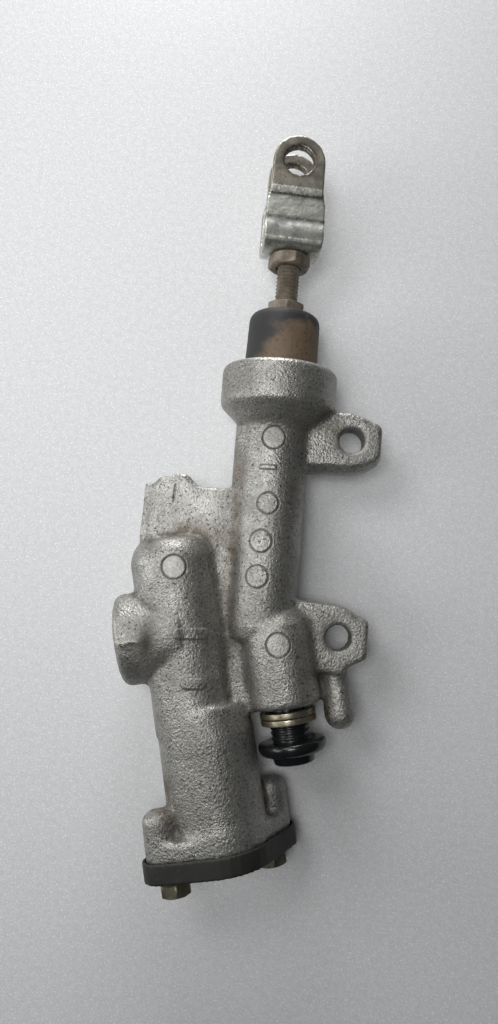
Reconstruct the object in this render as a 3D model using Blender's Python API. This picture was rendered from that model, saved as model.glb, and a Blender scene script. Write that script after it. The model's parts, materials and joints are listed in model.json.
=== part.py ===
"""Rear brake master cylinder of an off-road motorcycle, with its fluid reservoir cast on the side.

The casting lies on its side: +Z is up, +Y runs along the main bore towards the clevis and +X points to
the mounting lugs. The origin is at the middle of the footprint, at the lowest point.
Lengths below are in millimetres, and mm() turns them into Blender's metres.
"""
import math

import bmesh
import bpy
from mathutils import Matrix, Vector
from mathutils.geometry import convex_hull_2d

# Main bore, measured along the bore axis from midway between the two mounting holes
BORE_R = 5.55
BORE_END = -23.0
TUBE_R = 8.75
TUBE_END = -28.5
CUP_R = 15.0
CUP_RIM = 42.3
CUP_SHOULDER = 32.6
CONE_START = 26.0
WASHER_SEAT = 33.0
BOOT_SEAT = 36.2
BOOT_SEAT_R = 10.6
MOUTH_R = 9.85
COUNTERBORE_R = 7.1

# Mounting lugs
LUG_FRONT = 4.0
LUG_BACK = -3.1
LUG_DRAFT = 1.2
HOLE_X = 19.65
HOLE_Y = 25.0
HOLE_R = 3.25
PAD_R = 6.3
PAD_HEIGHT = 0.6

# Outlet port, reservoir and hose stop share one direction, turned away from the bore
PORT_ANGLE = math.radians(12.9)
PORT_FACE = (8.21, -42.75)
PORT_R = 8.8
PORT_THREAD_R = 5.2
PORT_THREAD_DEPTH = 13.0
PORT_OVAL = 1.6
STOP_OFFSET = 13.0
STOP_R = 3.95
STOP_TIP = 8.0

# Reservoir, in the port's own axes: across (negative is the reservoir's side) and along
CHAMBER_ACROSS = -23.4
CHAMBER_R = 10.8
CHAMBER_BORE_R = 8.3
CHAMBER_END = -45.6
BOWL_ACROSS = -20.95
BOWL_R = 12.0
BOWL_BORE_R = 9.2
BOWL_START = -3.0
BOWL_FACE = 31.0
LOBE_ACROSS = 13.55
LOBE_UP = 6.4
LOBE_R = 4.15
SCREW_ACROSS = 11.65
SCREW_UP = 5.6
FLANGE_DEPTH = 4.7
COLUMN_TOP = 18.0
COLUMN_DROP = 1.2

# Sight glass boss, square to the reservoir
SIGHT_ALONG = -21.7
SIGHT_R = 11.6
SIGHT_FACE = 39.4
SIGHT_POCKET_R = 8.6
SIGHT_POCKET_DEPTH = 4.8
SIGHT_WINDOW_R = 6.8

# Cap and what it holds
CAP_RIM = 1.0
CAP_LIP_TOP = 30.3
CAP_BOTTOM = 35.2
CAP_RECESS_R = 10.35
CAP_RECESS_FLOOR = 33.4

# Push rod, boot and clevis, from the centre of the rod's ball
BALL_CENTRE = 29.5
BALL_R = 3.2
ROD_R = 2.95
HEX_BOTTOM = 57.7
HEX_TOP = 60.65
HEX_FLATS = 9.2
NUT_FLATS = 10.0
NUT_BOTTOM = 70.3
CLEVIS_BASE = 74.2
CLEVIS_EYE = 98.0
CLEVIS_EYE_R = 4.0
EAR_R = 6.9
EAR_OUTER = 5.85
STRIP = 2.6
CLEVIS_HALF_WIDTH = 7.75
CLEVIS_TURN = math.radians(6.5)
ROD_CLEARANCE = 0.3

# Travel and return spring
PISTON_REAR = 31.0
SPRING_R = 3.5
SPRING_WIRE_R = 0.5
SPRING_TURNS = 7
SPRING_SEAT_FACE = -7.3

ROUND = 48
SMALL_ROUND = 24
TINY_ROUND = 12


def mm(value):
    """Turn millimetres into metres."""
    return value * 0.001


def clear_scene():
    """Remove every object, mesh and material of an earlier run."""
    for item in list(bpy.data.objects):
        bpy.data.objects.remove(item, do_unlink=True)
    for mesh in list(bpy.data.meshes):
        bpy.data.meshes.remove(mesh)
    for material in list(bpy.data.materials):
        bpy.data.materials.remove(material)


def finish_material(name, colour, roughness, metallic):
    """Return a Principled material of one colour."""
    material = bpy.data.materials.new(name)
    material.use_nodes = True
    shader = material.node_tree.nodes["Principled BSDF"]
    shader.inputs["Base Color"].default_value = (*colour, 1.0)
    shader.inputs["Roughness"].default_value = roughness
    shader.inputs["Metallic"].default_value = metallic
    material.diffuse_color = (*colour, 1.0)
    return material


# ---------------------------------------------------------------- frames

def add_frame(name, parent, place, axes=None):
    """Add an empty at a place in millimetres, whose axes are the three given directions."""
    frame = bpy.data.objects.new(name, None)
    bpy.context.collection.objects.link(frame)
    frame.empty_display_size = mm(5)
    frame.location = [mm(value) for value in place]
    if axes is not None:
        frame.rotation_euler = Matrix(axes).transposed().to_euler()
    frame.parent = parent
    return frame


# ---------------------------------------------------------------- mesh makers

def object_from(name, work, parent, place=(0, 0, 0)):
    """Turn a bmesh into an object under its parent, with outward faces and smooth round sides."""
    bmesh.ops.recalc_face_normals(work, faces=work.faces)
    mesh = bpy.data.meshes.new(name)
    work.to_mesh(mesh)
    work.free()
    mesh.shade_smooth()
    mesh.set_sharp_from_angle(angle=math.radians(35))
    item = bpy.data.objects.new(name, mesh)
    bpy.context.collection.objects.link(item)
    item.parent = parent
    item.location = [mm(value) for value in place]
    return item


def turned(name, parent, profile, place=(0, 0, 0), segments=ROUND):
    """Turn a profile of (radius, height) points about local Z.

    A profile that starts and ends on the axis makes a solid, and any other is closed into a ring.
    """
    work = bmesh.new()
    rings = []
    for radius, height in profile:
        if radius == 0:
            rings.append([work.verts.new((0, 0, mm(height)))])
            continue
        ring = []
        for step in range(segments):
            angle = 2 * math.pi * step / segments
            around = (mm(radius) * math.cos(angle), mm(radius) * math.sin(angle), mm(height))
            ring.append(work.verts.new(around))
        rings.append(ring)
    pairs = list(zip(rings, rings[1:]))
    if profile[0][0] != 0:
        pairs.append((rings[-1], rings[0]))
    for lower, upper in pairs:
        for step in range(segments):
            after = (step + 1) % segments
            corners = [lower[step % len(lower)], lower[after % len(lower)]]
            corners += [upper[after % len(upper)], upper[step % len(upper)]]
            distinct = list(dict.fromkeys(corners))
            if len(distinct) > 2:
                work.faces.new(distinct)
    return object_from(name, work, parent, place)


def prism(name, parent, outline, low, high, place=(0, 0, 0)):
    """Extrude an outline of (x, y) points along local Z from low to high."""
    work = bmesh.new()
    floor = [work.verts.new((mm(x), mm(y), mm(low))) for x, y in outline]
    roof = [work.verts.new((mm(x), mm(y), mm(high))) for x, y in outline]
    work.faces.new(list(reversed(floor)))
    work.faces.new(roof)
    for step in range(len(outline)):
        after = (step + 1) % len(outline)
        work.faces.new((floor[step], floor[after], roof[after], roof[step]))
    return object_from(name, work, parent, place)


def drafted(name, parent, outline, roof, low, middle, high):
    """Extrude an outline from low to middle, then draw it in to a roof outline at high."""
    work = bmesh.new()
    levels = ((outline, low), (outline, middle), (roof, high))
    rings = [[work.verts.new((mm(x), mm(y), mm(z))) for x, y in points] for points, z in levels]
    work.faces.new(list(reversed(rings[0])))
    work.faces.new(rings[-1])
    for lower, upper in zip(rings, rings[1:]):
        for step in range(len(outline)):
            after = (step + 1) % len(outline)
            work.faces.new((lower[step], lower[after], upper[after]))
            work.faces.new((lower[step], upper[after], upper[step]))
    return object_from(name, work, parent, (0, 0, 0))


def arc(centre, radius, start, end, steps):
    """Return points along an arc, with its angles in degrees."""
    points = []
    for step in range(steps + 1):
        angle = math.radians(start + (end - start) * step / steps)
        points.append((centre[0] + radius * math.cos(angle), centre[1] + radius * math.sin(angle)))
    return points


def round_outline(circles, grow=0.0, steps=32):
    """Return the tight outline around (x, y, radius) circles, grown outwards."""
    points = []
    for x, y, radius in circles:
        points += arc((x, y), radius + grow, 0, 360 - 360 / steps, steps - 1)
    return [points[index] for index in convex_hull_2d(points)]


def hexagon(flats, turn=0.0):
    """Return a hexagon's corners from its width across flats, turned by an angle in degrees."""
    return arc((0, 0), flats / math.sqrt(3), turn, turn + 300, 5)


def domed_oval(name, parent, profile, stretch, segments=ROUND):
    """Return the convex hull of a turned profile pushed up and down by the same stretch."""
    work = bmesh.new()
    for shift in (-stretch, stretch):
        for radius, height in profile:
            for step in range(segments):
                angle = 2 * math.pi * step / segments
                side = mm(radius) * math.cos(angle)
                work.verts.new((side, mm(radius) * math.sin(angle) + mm(shift), mm(height)))
    bmesh.ops.remove_doubles(work, verts=work.verts, dist=1e-6)
    result = bmesh.ops.convex_hull(work, input=work.verts)
    spare = [item for item in result["geom_interior"] if isinstance(item, bmesh.types.BMVert)]
    bmesh.ops.delete(work, geom=spare, context="VERTS")
    return object_from(name, work, parent)


def coil(name, parent, radius, wire_radius, start, end, turns, sides=8, steps=20):
    """Wind a spring about local Z, with flat caps on the wire's two ends."""
    work = bmesh.new()
    rings = []
    total = turns * steps
    for step in range(total + 1):
        angle = 2 * math.pi * step / steps
        height = start + (end - start) * step / total
        outward = Vector((math.cos(angle), math.sin(angle), 0))
        centre = outward * mm(radius) + Vector((0, 0, mm(height)))
        ring = []
        for side in range(sides):
            around = 2 * math.pi * side / sides
            offset = outward * math.cos(around) + Vector((0, 0, math.sin(around)))
            ring.append(work.verts.new(centre + offset * mm(wire_radius)))
        rings.append(ring)
    for lower, upper in zip(rings, rings[1:]):
        for side in range(sides):
            after = (side + 1) % sides
            work.faces.new((lower[side], lower[after], upper[after], upper[side]))
    work.faces.new(list(reversed(rings[0])))
    work.faces.new(rings[-1])
    return object_from(name, work, parent)


# ---------------------------------------------------------------- joining and cutting

def use_as_tool(item):
    """Hide an object that only shapes another one."""
    item.hide_render = True
    item.display_type = "WIRE"


def combine(target, operation, tools):
    """Add one exact Boolean for each tool."""
    for tool in tools:
        use_as_tool(tool)
        modifier = target.modifiers.new(tool.name, "BOOLEAN")
        modifier.operation = operation
        modifier.solver = "EXACT"
        modifier.object = tool


# ---------------------------------------------------------------- outlines of the casting

def upper_lug_outline():
    """Outline of the lug nearer the clevis, in the casting's X and Y."""
    return [
        (2.0, 16.2), (20.4, 16.6), (24.2, 17.9), (26.8, 19.6), (27.6, 21.4),
        (27.5, 29.1), (26.6, 30.1), (24.4, 30.8), (22.2, 31.8), (19.2, 32.6), (2.0, 32.5),
    ]


def lower_lug_outline():
    """Outline of the lug beside the outlet port, in the casting's X and Y."""
    return [
        (2.0, -15.6), (2.0, -34.0), (21.5, -34.0), (22.8, -32.3), (25.6, -30.7), (26.8, -30.2),
        (27.4, -29.3), (27.3, -20.4), (26.6, -19.9), (24.2, -19.0), (21.8, -17.6), (19.2, -16.8),
    ]


def upper_lug_roof():
    """Outline of the upper lug's front face, drawn in most along its lower side."""
    return [
        (2.0, 18.2), (20.2, 18.5), (23.7, 19.4), (26.2, 20.7), (27.0, 21.9),
        (26.9, 28.8), (26.1, 29.5), (24.1, 30.2), (21.9, 31.2), (19.0, 32.0), (2.0, 31.9),
    ]


def lower_lug_roof():
    """Outline of the lower lug's front face."""
    return [
        (2.0, -16.2), (2.0, -33.8), (21.3, -33.7), (22.5, -32.0), (25.2, -30.4), (26.4, -29.8),
        (26.9, -29.0), (26.8, -20.7), (26.2, -20.3), (23.9, -19.5), (21.5, -18.1), (19.0, -17.4),
    ]


def across_along(across, along):
    """Turn a place in the port's axes into the casting's X and Y."""
    x = PORT_FACE[0] + along * math.sin(PORT_ANGLE) + across * math.cos(PORT_ANGLE)
    y = PORT_FACE[1] - along * math.cos(PORT_ANGLE) + across * math.sin(PORT_ANGLE)
    return (x, y)


def web_outline():
    """Outline of the web that joins the bore tube to the reservoir."""
    top = [(0.0, 10.4), (-11.8, 10.4), (-17.4, 10.2), (-18.9, 10.6), (-20.1, 11.8), (-21.4, 13.0)]
    lobe = [(-23.0, 13.3), (-28.6, 11.8), (-29.7, 10.3)]
    inside = [(-29.5, -9.0), (-18.0, -20.0), across_along(-16.0, 0.5)]
    bottom = [across_along(-3.0, 0.3), (2.0, -26.0), (2.0, 8.0)]
    return top + lobe + inside + bottom


def flange_circles():
    """Circles of the cap flange: the bowl and the two screw lobes, in the port's axes."""
    return [
        (BOWL_ACROSS, 0.0, BOWL_R + 0.3),
        (BOWL_ACROSS - LOBE_ACROSS, LOBE_UP, LOBE_R),
        (BOWL_ACROSS + LOBE_ACROSS, -LOBE_UP, LOBE_R),
    ]


def screw_places():
    """Names and centres of the two cap screws, in the port's axes."""
    return {
        "left": (BOWL_ACROSS - SCREW_ACROSS, SCREW_UP),
        "right": (BOWL_ACROSS + SCREW_ACROSS, -SCREW_UP),
    }


# ---------------------------------------------------------------- the casting

def casting_solids(assembly, bore, port, sight):
    """Make the outer shapes that are joined to the bore tube."""
    lugs = [
        drafted("lug_upper", assembly, upper_lug_outline(), upper_lug_roof(), LUG_BACK, LUG_DRAFT, LUG_FRONT),
        drafted("lug_lower", assembly, lower_lug_outline(), lower_lug_roof(), LUG_BACK, LUG_DRAFT, LUG_FRONT),
    ]
    pad = [(0, -PAD_HEIGHT), (PAD_R, -PAD_HEIGHT), (PAD_R, 2.0), (0, 2.0)]
    pads = []
    for name, side in (("pad_upper", 1), ("pad_lower", -1)):
        pads.append(turned(name, assembly, pad, (HOLE_X, side * HOLE_Y, LUG_BACK), 36))
    web = prism("web", assembly, web_outline(), -3.5, 3.5)
    strip = [(-26.0, 10.0), (-32.2, 10.2), (-32.4, -4.0), (-31.0, -9.0), (-26.0, -9.0)]
    web_strip = prism("web_strip", assembly, strip, -2.7, 2.7)
    flank_outline = round_outline([(0, 0, 7.6), (-5.5, 0, 4.8)])
    flank = prism("tube_flank", bore, flank_outline, 8.0, 28.2)

    dome = [(0.01, -25.3), (3.6, -24.8), (6.3, -23.0), (8.1, -20.4), (PORT_R, -17.0)]
    dome += [(PORT_R, -0.9), (PORT_R - 0.8, 0.0)]
    boss = domed_oval("port_boss", port, dome, PORT_OVAL)
    tip = arc((0, STOP_TIP - STOP_R), STOP_R, 0, 90, 6)[:-1]
    stop = [(0, -16.0), (3.1, -16.0), (3.35, -6.0)] + tip + [(0, STOP_TIP)]
    hose_stop = turned("hose_stop", port, stop, (STOP_OFFSET, 0, 0), SMALL_ROUND)

    end = CHAMBER_END
    chamber = [(0, end), (6.6, end), (8.6, end + 0.9), (9.9, end + 2.6), (CHAMBER_R, end + 5.2)]
    chamber += [(CHAMBER_R, -15.0), (CHAMBER_R - 0.8, -8.0), (CHAMBER_R - 0.8, 3.0), (0, 3.0)]
    chamber_wall = turned("chamber_wall", port, chamber, (CHAMBER_ACROSS, 0, 0))
    bowl = [(0, BOWL_START), (BOWL_R - 2.0, BOWL_START), (BOWL_R, 3.0), (BOWL_R, 24.0)]
    bowl += [(BOWL_R + 0.25, 26.0), (BOWL_R + 0.25, BOWL_FACE - 0.5), (0, BOWL_FACE - 0.5)]
    bowl_wall = turned("bowl_wall", port, bowl, (BOWL_ACROSS, 0, 0))
    slab = prism("cap_flange", port, round_outline(flange_circles()), BOWL_FACE - FLANGE_DEPTH, BOWL_FACE)
    columns = []
    for name, side, top in (("column_left", -1, COLUMN_TOP + COLUMN_DROP), ("column_right", 1, COLUMN_TOP)):
        column = [(0, top), (2.3, top), (3.5, top + 0.8), (LOBE_R - 0.05, top + 2.2)]
        column += [(LOBE_R - 0.05, BOWL_FACE - 1.0), (0, BOWL_FACE - 1.0)]
        place = (BOWL_ACROSS + side * LOBE_ACROSS, -side * LOBE_UP, 0)
        columns.append(turned(name, port, column, place, SMALL_ROUND))

    face = SIGHT_FACE + CHAMBER_ACROSS
    round_edge = arc((SIGHT_R - 2.0, face - 2.0), 2.0, 0, 90, 4)
    window_boss = [(0, 0), (SIGHT_R, 0)] + round_edge + [(0, face)]
    sight_boss = turned("sight_boss", sight, window_boss)
    shapes = lugs + pads + [web, web_strip, flank, boss, hose_stop, chamber_wall, bowl_wall, slab]
    return shapes + columns + [sight_boss]


def casting_cuts(assembly, bore, port, sight):
    """Make the bores, threads, pockets and drillings that are cut from the casting."""
    cuts = []
    bore_cut = [(0, BORE_END - 1.5), (BORE_R, BORE_END), (BORE_R, WASHER_SEAT)]
    bore_cut += [(COUNTERBORE_R, WASHER_SEAT), (COUNTERBORE_R, 34.5), (8.0, 34.5), (8.0, 35.6)]
    bore_cut += [(COUNTERBORE_R, 35.6), (COUNTERBORE_R, BOOT_SEAT), (BOOT_SEAT_R, BOOT_SEAT)]
    bore_cut += [(BOOT_SEAT_R, BOOT_SEAT + 2.4), (MOUTH_R, BOOT_SEAT + 3.0), (MOUTH_R, CUP_RIM + 1)]
    bore_cut += [(0, CUP_RIM + 1)]
    cuts.append(turned("bore_cut", bore, bore_cut))
    for name, side in (("lug_hole_upper", 1), ("lug_hole_lower", -1)):
        hole = [(0, -6.0), (HOLE_R, -6.0), (HOLE_R, 6.0), (0, 6.0)]
        cuts.append(turned(name, assembly, hole, (HOLE_X, side * HOLE_Y, 0), SMALL_ROUND))

    depth = -PORT_THREAD_DEPTH
    port_cut = [(0, -20.0), (1.8, -20.0), (1.8, depth - 1.5), (PORT_THREAD_R, depth)]
    port_cut += [(PORT_THREAD_R, 1.0), (0, 1.0)]
    cuts.append(turned("port_cut", port, port_cut, segments=32))

    chamber_cut = [(0, CHAMBER_END + 4.0), (6.4, CHAMBER_END + 4.0), (CHAMBER_BORE_R, CHAMBER_END + 6.4)]
    chamber_cut += [(CHAMBER_BORE_R, 0.0), (0, 0.0)]
    cuts.append(turned("chamber_cut", port, chamber_cut, (CHAMBER_ACROSS, 0, 0)))
    bowl_cut = [(0, -2.0), (BOWL_BORE_R - 1.2, -2.0), (BOWL_BORE_R, 0.5)]
    bowl_cut += [(BOWL_BORE_R, BOWL_FACE + 1), (0, BOWL_FACE + 1)]
    cuts.append(turned("bowl_cut", port, bowl_cut, (BOWL_ACROSS, 0, 0)))
    for name, (across, up) in screw_places().items():
        hole = [(0, 20.0), (2.25, 21.2), (2.25, BOWL_FACE + 1), (0, BOWL_FACE + 1)]
        cuts.append(turned("screw_hole_" + name, port, hole, (across, up, 0), SMALL_ROUND))

    face = SIGHT_FACE + CHAMBER_ACROSS
    pocket = face - SIGHT_POCKET_DEPTH
    window = [(0, 2.0), (SIGHT_WINDOW_R, 2.0), (SIGHT_WINDOW_R, pocket), (SIGHT_POCKET_R, pocket)]
    window += [(SIGHT_POCKET_R, face + 1), (0, face + 1)]
    cuts.append(turned("sight_cut", sight, window))

    for name, start, end, radius in (
        ("feed_drilling", (-20.0, -12.0), (-4.4, 5.0), 1.4),
        ("bypass_drilling", (-20.0, -14.5), (-4.4, -6.0), 0.6),
    ):
        cuts.append(drilling(name, assembly, start, end, radius))
    return cuts


def drilling(name, assembly, start, end, radius):
    """Return a round cutter between two places in the casting's X and Y."""
    run = Vector((end[0] - start[0], end[1] - start[1], 0))
    along = run.normalized()
    up = Vector((0, 0, 1))
    frame = add_frame(name + "_line", assembly, (*start, 0), (up.cross(along), up, along))
    profile = [(0, 0), (radius, 0), (radius, run.length), (0, run.length)]
    return turned(name, frame, profile, segments=TINY_ROUND)


def make_casting(assembly, bore, port, sight, material):
    """Make the one-piece casting: bore tube, cup, lugs, web, port boss and reservoir."""
    cup_edge = arc((CUP_R - 1.3, CUP_RIM - 1.3), 1.3, 0, 90, 3)
    profile = [(0, TUBE_END), (5.0, TUBE_END), (7.9, TUBE_END + 1.6), (TUBE_R, TUBE_END + 4.4)]
    profile += [(TUBE_R, CONE_START), (9.4, 27.3), (10.9, 28.4), (14.7, CUP_SHOULDER - 0.6)]
    profile += [(CUP_R, CUP_SHOULDER + 0.5)] + cup_edge + [(0, CUP_RIM)]
    body = turned("cylinder_body", bore, profile)
    combine(body, "UNION", casting_solids(assembly, bore, port, sight))
    combine(body, "DIFFERENCE", casting_cuts(assembly, bore, port, sight))
    body.data.materials.append(material)


# ---------------------------------------------------------------- hydraulics in the bore

def make_piston_group(slide, materials):
    """Make the piston with its two cups and the spring's seat."""
    socket = [(BALL_R + 0.45, BALL_CENTRE)]
    socket += [(r, BALL_CENTRE - h) for r, h in arc((0, 0), BALL_R + 0.45, 15, 75, 4)]
    profile = [(0, -6.0), (2.6, -6.0), (2.6, -1.0), (5.3, -1.0), (5.3, 1.0), (3.3, 1.6), (3.3, 21.6)]
    profile += [(5.3, 22.2), (5.3, 23.6), (3.9, 23.6), (3.9, 26.6), (5.3, 26.6), (5.3, PISTON_REAR)]
    profile += [(4.1, PISTON_REAR)] + socket + [(0, BALL_CENTRE - BALL_R - 0.45)]
    piston = turned("piston", slide, profile, segments=32)
    piston.data.materials.append(materials["anodised"])

    primary = [(2.9, -1.3), (5.1, -1.3), (5.35, -4.9), (4.7, -4.9), (4.2, -3.2), (2.9, -3.2)]
    secondary = [(4.2, 26.3), (5.1, 26.3), (5.35, 23.9), (4.8, 23.9), (4.6, 24.9), (4.2, 24.9)]
    for name, outline in (("primary_cup", primary), ("secondary_cup", secondary)):
        cup = turned(name, slide, outline, segments=32)
        cup.data.materials.append(materials["rubber"])

    seat = [(0, -6.3), (4.4, -6.3), (4.4, SPRING_SEAT_FACE + 0.2), (2.5, SPRING_SEAT_FACE + 0.2)]
    seat += [(2.5, -9.0), (0, -9.0)]
    spring_seat = turned("spring_seat", slide, seat, segments=SMALL_ROUND)
    spring_seat.data.materials.append(materials["steel"])


def make_fixed_bore_parts(bore, materials):
    """Make the return spring, the washer that stops the push rod and the circlip that holds it."""
    start = BORE_END + SPRING_WIRE_R + 0.3
    end = SPRING_SEAT_FACE - SPRING_WIRE_R - 0.1
    spring = coil("return_spring", bore, SPRING_R, SPRING_WIRE_R, start, end, SPRING_TURNS)
    spring.data.materials.append(materials["steel"])
    ring = [(4.2, 33.25), (6.8, 33.25), (6.8, 34.25), (4.2, 34.25)]
    washer = turned("stopper_washer", bore, ring, segments=36)
    washer.data.materials.append(materials["zinc"])

    gap = 24
    outer = arc((0, 0), 7.75, gap, 360 - gap, 30)
    inner = arc((0, 0), 6.2, 360 - gap, gap, 30)
    circlip = prism("circlip", bore, outer + inner, 34.55 + 0.2, 35.4)
    circlip.data.materials.append(materials["steel"])


# ---------------------------------------------------------------- push rod, boot and clevis

def make_boot(pivot, materials):
    """Make the rubber boot between the cup and the push rod."""
    base = BALL_CENTRE
    top = 57.4
    shoulder = arc((6.15, top - 3.0), 3.0, 0, 90, 5)
    inner_shoulder = arc((6.0, top - 3.4), 2.0, 90, 0, 4)
    profile = [(9.0, 36.5), (10.3, 36.5), (10.3, 38.2), (9.5, 38.8), (9.45, 42.0)] + shoulder
    profile += [(3.3, top), (3.3, top - 1.4)] + inner_shoulder + [(8.25, 40.0)]
    boot = turned("dust_boot", pivot, [(radius, height - base) for radius, height in profile])
    boot.data.materials.append(materials["rubber"])


def make_push_rod(spin, materials):
    """Make the push rod: ball, stop collar, plain and threaded shank, and its hexagon."""
    base = BALL_CENTRE
    ball = arc((0, 0), BALL_R, -70, 10, 4)
    profile = [(0, -BALL_R)] + ball + [(2.5, 1.7), (2.5, 1.95), (5.05, 1.95), (5.05, 3.25)]
    profile += [(ROD_R, 3.25), (ROD_R, 79.0 - base), (ROD_R - 0.6, 79.6 - base), (0, 79.6 - base)]
    rod = turned("push_rod", spin, profile, segments=32)
    flats = hexagon(HEX_FLATS, 6)
    rod_hex = prism("rod_hexagon", spin, flats, HEX_BOTTOM - base, HEX_TOP - base)
    combine(rod, "UNION", [rod_hex])
    rod.data.materials.append(materials["zinc_tan"])

    nut = prism("lock_nut", spin, hexagon(NUT_FLATS, 22), NUT_BOTTOM - base, CLEVIS_BASE - 0.25 - base)
    thread = [(0, 0), (ROD_R + ROD_CLEARANCE, 0), (ROD_R + ROD_CLEARANCE, 80), (0, 80)]
    nut_hole = turned("nut_hole", spin, thread, segments=SMALL_ROUND)
    combine(nut, "DIFFERENCE", [nut_hole])
    nut.data.materials.append(materials["zinc_tan"])
    return nut_hole


def make_clevis(spin, nut_hole, materials):
    """Make the clevis: a strip bent to a U with two round ears, tapped in its base."""
    base = BALL_CENTRE
    top = CLEVIS_EYE + EAR_R + 1.0
    outer = [(EAR_OUTER, top), (EAR_OUTER, 90.7), (5.0, 88.9), (6.1, 82.6), (6.5, 79.6)]
    outer += arc((3.3, CLEVIS_BASE + 3.2), 3.2, 0, -90, 5)[1:]
    inner = [(EAR_OUTER - STRIP, top), (EAR_OUTER - STRIP, 90.4), (2.5, 88.4), (3.5, 83.0), (3.9, 80.6)]
    inner += [(3.9, 78.6), (3.3, CLEVIS_BASE + STRIP + 0.5), (2.6, CLEVIS_BASE + STRIP)]
    mirrored_outer = [(-up, along) for up, along in reversed(outer)]
    mirrored_inner = [(-up, along) for up, along in inner]
    section = outer + mirrored_outer + mirrored_inner + list(reversed(inner))
    side_frame = add_frame("clevis_side", spin, (0, 0, 0), ((0, 1, 0), (0, 0, 1), (1, 0, 0)))
    half = CLEVIS_HALF_WIDTH
    outline = [(up, along - base) for up, along in section]
    clevis = prism("clevis", side_frame, outline, -half - 1, half + 1)

    ears = arc((0, CLEVIS_EYE - base), EAR_R, 0, 180, 16)
    front = [(half - 0.3, CLEVIS_BASE - 1 - base), (half, CLEVIS_BASE + 2.5 - base), (half, 86.5 - base)]
    front += [(EAR_R + 0.05, 90.6 - base)] + ears + [(-EAR_R - 0.05, 90.6 - base), (-half, 86.5 - base)]
    front += [(-half, CLEVIS_BASE + 2.5 - base), (-half + 0.3, CLEVIS_BASE - 1 - base)]
    front_frame = add_frame("clevis_front", spin, (0, 0, 0), ((1, 0, 0), (0, 0, 1), (0, -1, 0)))
    blank = prism("clevis_blank", front_frame, front, -10, 10)
    eye = [(0, -10), (CLEVIS_EYE_R, -10), (CLEVIS_EYE_R, 10), (0, 10)]
    eye_hole = turned("clevis_eye", front_frame, eye, (0, CLEVIS_EYE - base, 0), 32)
    combine(clevis, "INTERSECT", [blank])
    combine(clevis, "DIFFERENCE", [eye_hole, nut_hole])
    clevis.data.materials.append(materials["zinc"])


# ---------------------------------------------------------------- reservoir cap and sight glass

def make_cap(port, materials):
    """Make the cap with its raised rim, the diaphragm, its plate and the two screws."""
    outline = round_outline(flange_circles(), CAP_RIM)
    cap = prism("reservoir_cap", port, outline, CAP_LIP_TOP, CAP_BOTTOM)
    seat_outline = round_outline(flange_circles(), 0.3)
    seat = prism("cap_seat_cut", port, seat_outline, CAP_LIP_TOP - 1, BOWL_FACE + 0.3)
    recess = [(0, 28.0), (CAP_RECESS_R, 28.0), (CAP_RECESS_R, CAP_RECESS_FLOOR), (0, CAP_RECESS_FLOOR)]
    cuts = [seat, turned("cap_recess_cut", port, recess, (BOWL_ACROSS, 0, 0))]
    for name, (across, up) in screw_places().items():
        hole = [(0, 28.0), (2.2, 28.0), (2.2, 37.0), (0, 37.0)]
        cuts.append(turned("cap_hole_" + name, port, hole, (across, up, 0), SMALL_ROUND))
    combine(cap, "DIFFERENCE", cuts)
    cap.data.materials.append(materials["black_plastic"])

    bellows = [(10.05, 31.25), (10.05, 32.3), (7.9, 32.3), (7.9, 24.8), (6.6, 24.0), (6.6, 28.5)]
    bellows += [(5.6, 29.3), (0, 29.3), (0, 28.4), (5.2, 28.4), (5.7, 27.9), (5.7, 23.6)]
    bellows += [(6.2, 23.0), (7.8, 23.0), (8.8, 24.2), (8.8, 31.25)]
    diaphragm = turned_shell("diaphragm", port, bellows, (BOWL_ACROSS, 0, 0))
    diaphragm.data.materials.append(materials["rubber"])
    plate_ring = [(3.0, 32.5), (9.9, 32.5), (9.9, 33.1), (3.0, 33.1)]
    plate = turned("diaphragm_plate", port, plate_ring, (BOWL_ACROSS, 0, 0), 36)
    plate.data.materials.append(materials["black_plastic"])

    for name, (across, up) in screw_places().items():
        shank = [(0, 21.6), (1.5, 21.6), (1.95, 22.1), (1.95, CAP_BOTTOM + 0.25), (4.2, CAP_BOTTOM + 0.25)]
        shank += [(4.2, CAP_BOTTOM + 0.8), (3.6, CAP_BOTTOM + 1.2), (0, CAP_BOTTOM + 1.2)]
        screw = turned("cap_screw_" + name, port, shank, (across, up, 0), SMALL_ROUND)
        flats = hexagon(7.0, 10)
        low = CAP_BOTTOM + 1.0
        head = prism("screw_head_" + name, port, flats, low, low + 3.0, (across, up, 0))
        combine(screw, "UNION", [head])
        screw.data.materials.append(materials["zinc_olive"])


def turned_shell(name, parent, profile, place):
    """Turn a closed profile that touches the axis along one edge, which is left out."""
    start = next(index for index, point in enumerate(profile) if point[0] == 0)
    ordered = profile[start + 1:] + profile[:start + 1]
    return turned(name, parent, ordered, place, 36)


def make_sight_glass(sight, materials):
    """Make the level window: its seal, the lens and the ring that holds it."""
    face = SIGHT_FACE + CHAMBER_ACROSS
    floor = face - SIGHT_POCKET_DEPTH
    washer = [(7.1, floor + 0.2), (8.3, floor + 0.2), (8.3, floor + 1.1), (7.1, floor + 1.1)]
    seal = turned("sight_glass_seal", sight, washer)
    seal.data.materials.append(materials["rubber"])
    lens = [(0, floor + 1.3), (8.3, floor + 1.3), (8.3, face - 1.0), (7.4, face - 0.9), (0, face - 0.7)]
    glass = turned("sight_glass", sight, lens)
    glass.data.materials.append(materials["glass"])
    band = [(7.6, face - 0.6), (8.3, face - 0.75), (8.3, face - 0.1), (7.6, face - 0.1)]
    ring = turned("sight_glass_ring", sight, band)
    ring.data.materials.append(materials["steel"])


# ---------------------------------------------------------------- outlet plug

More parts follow.
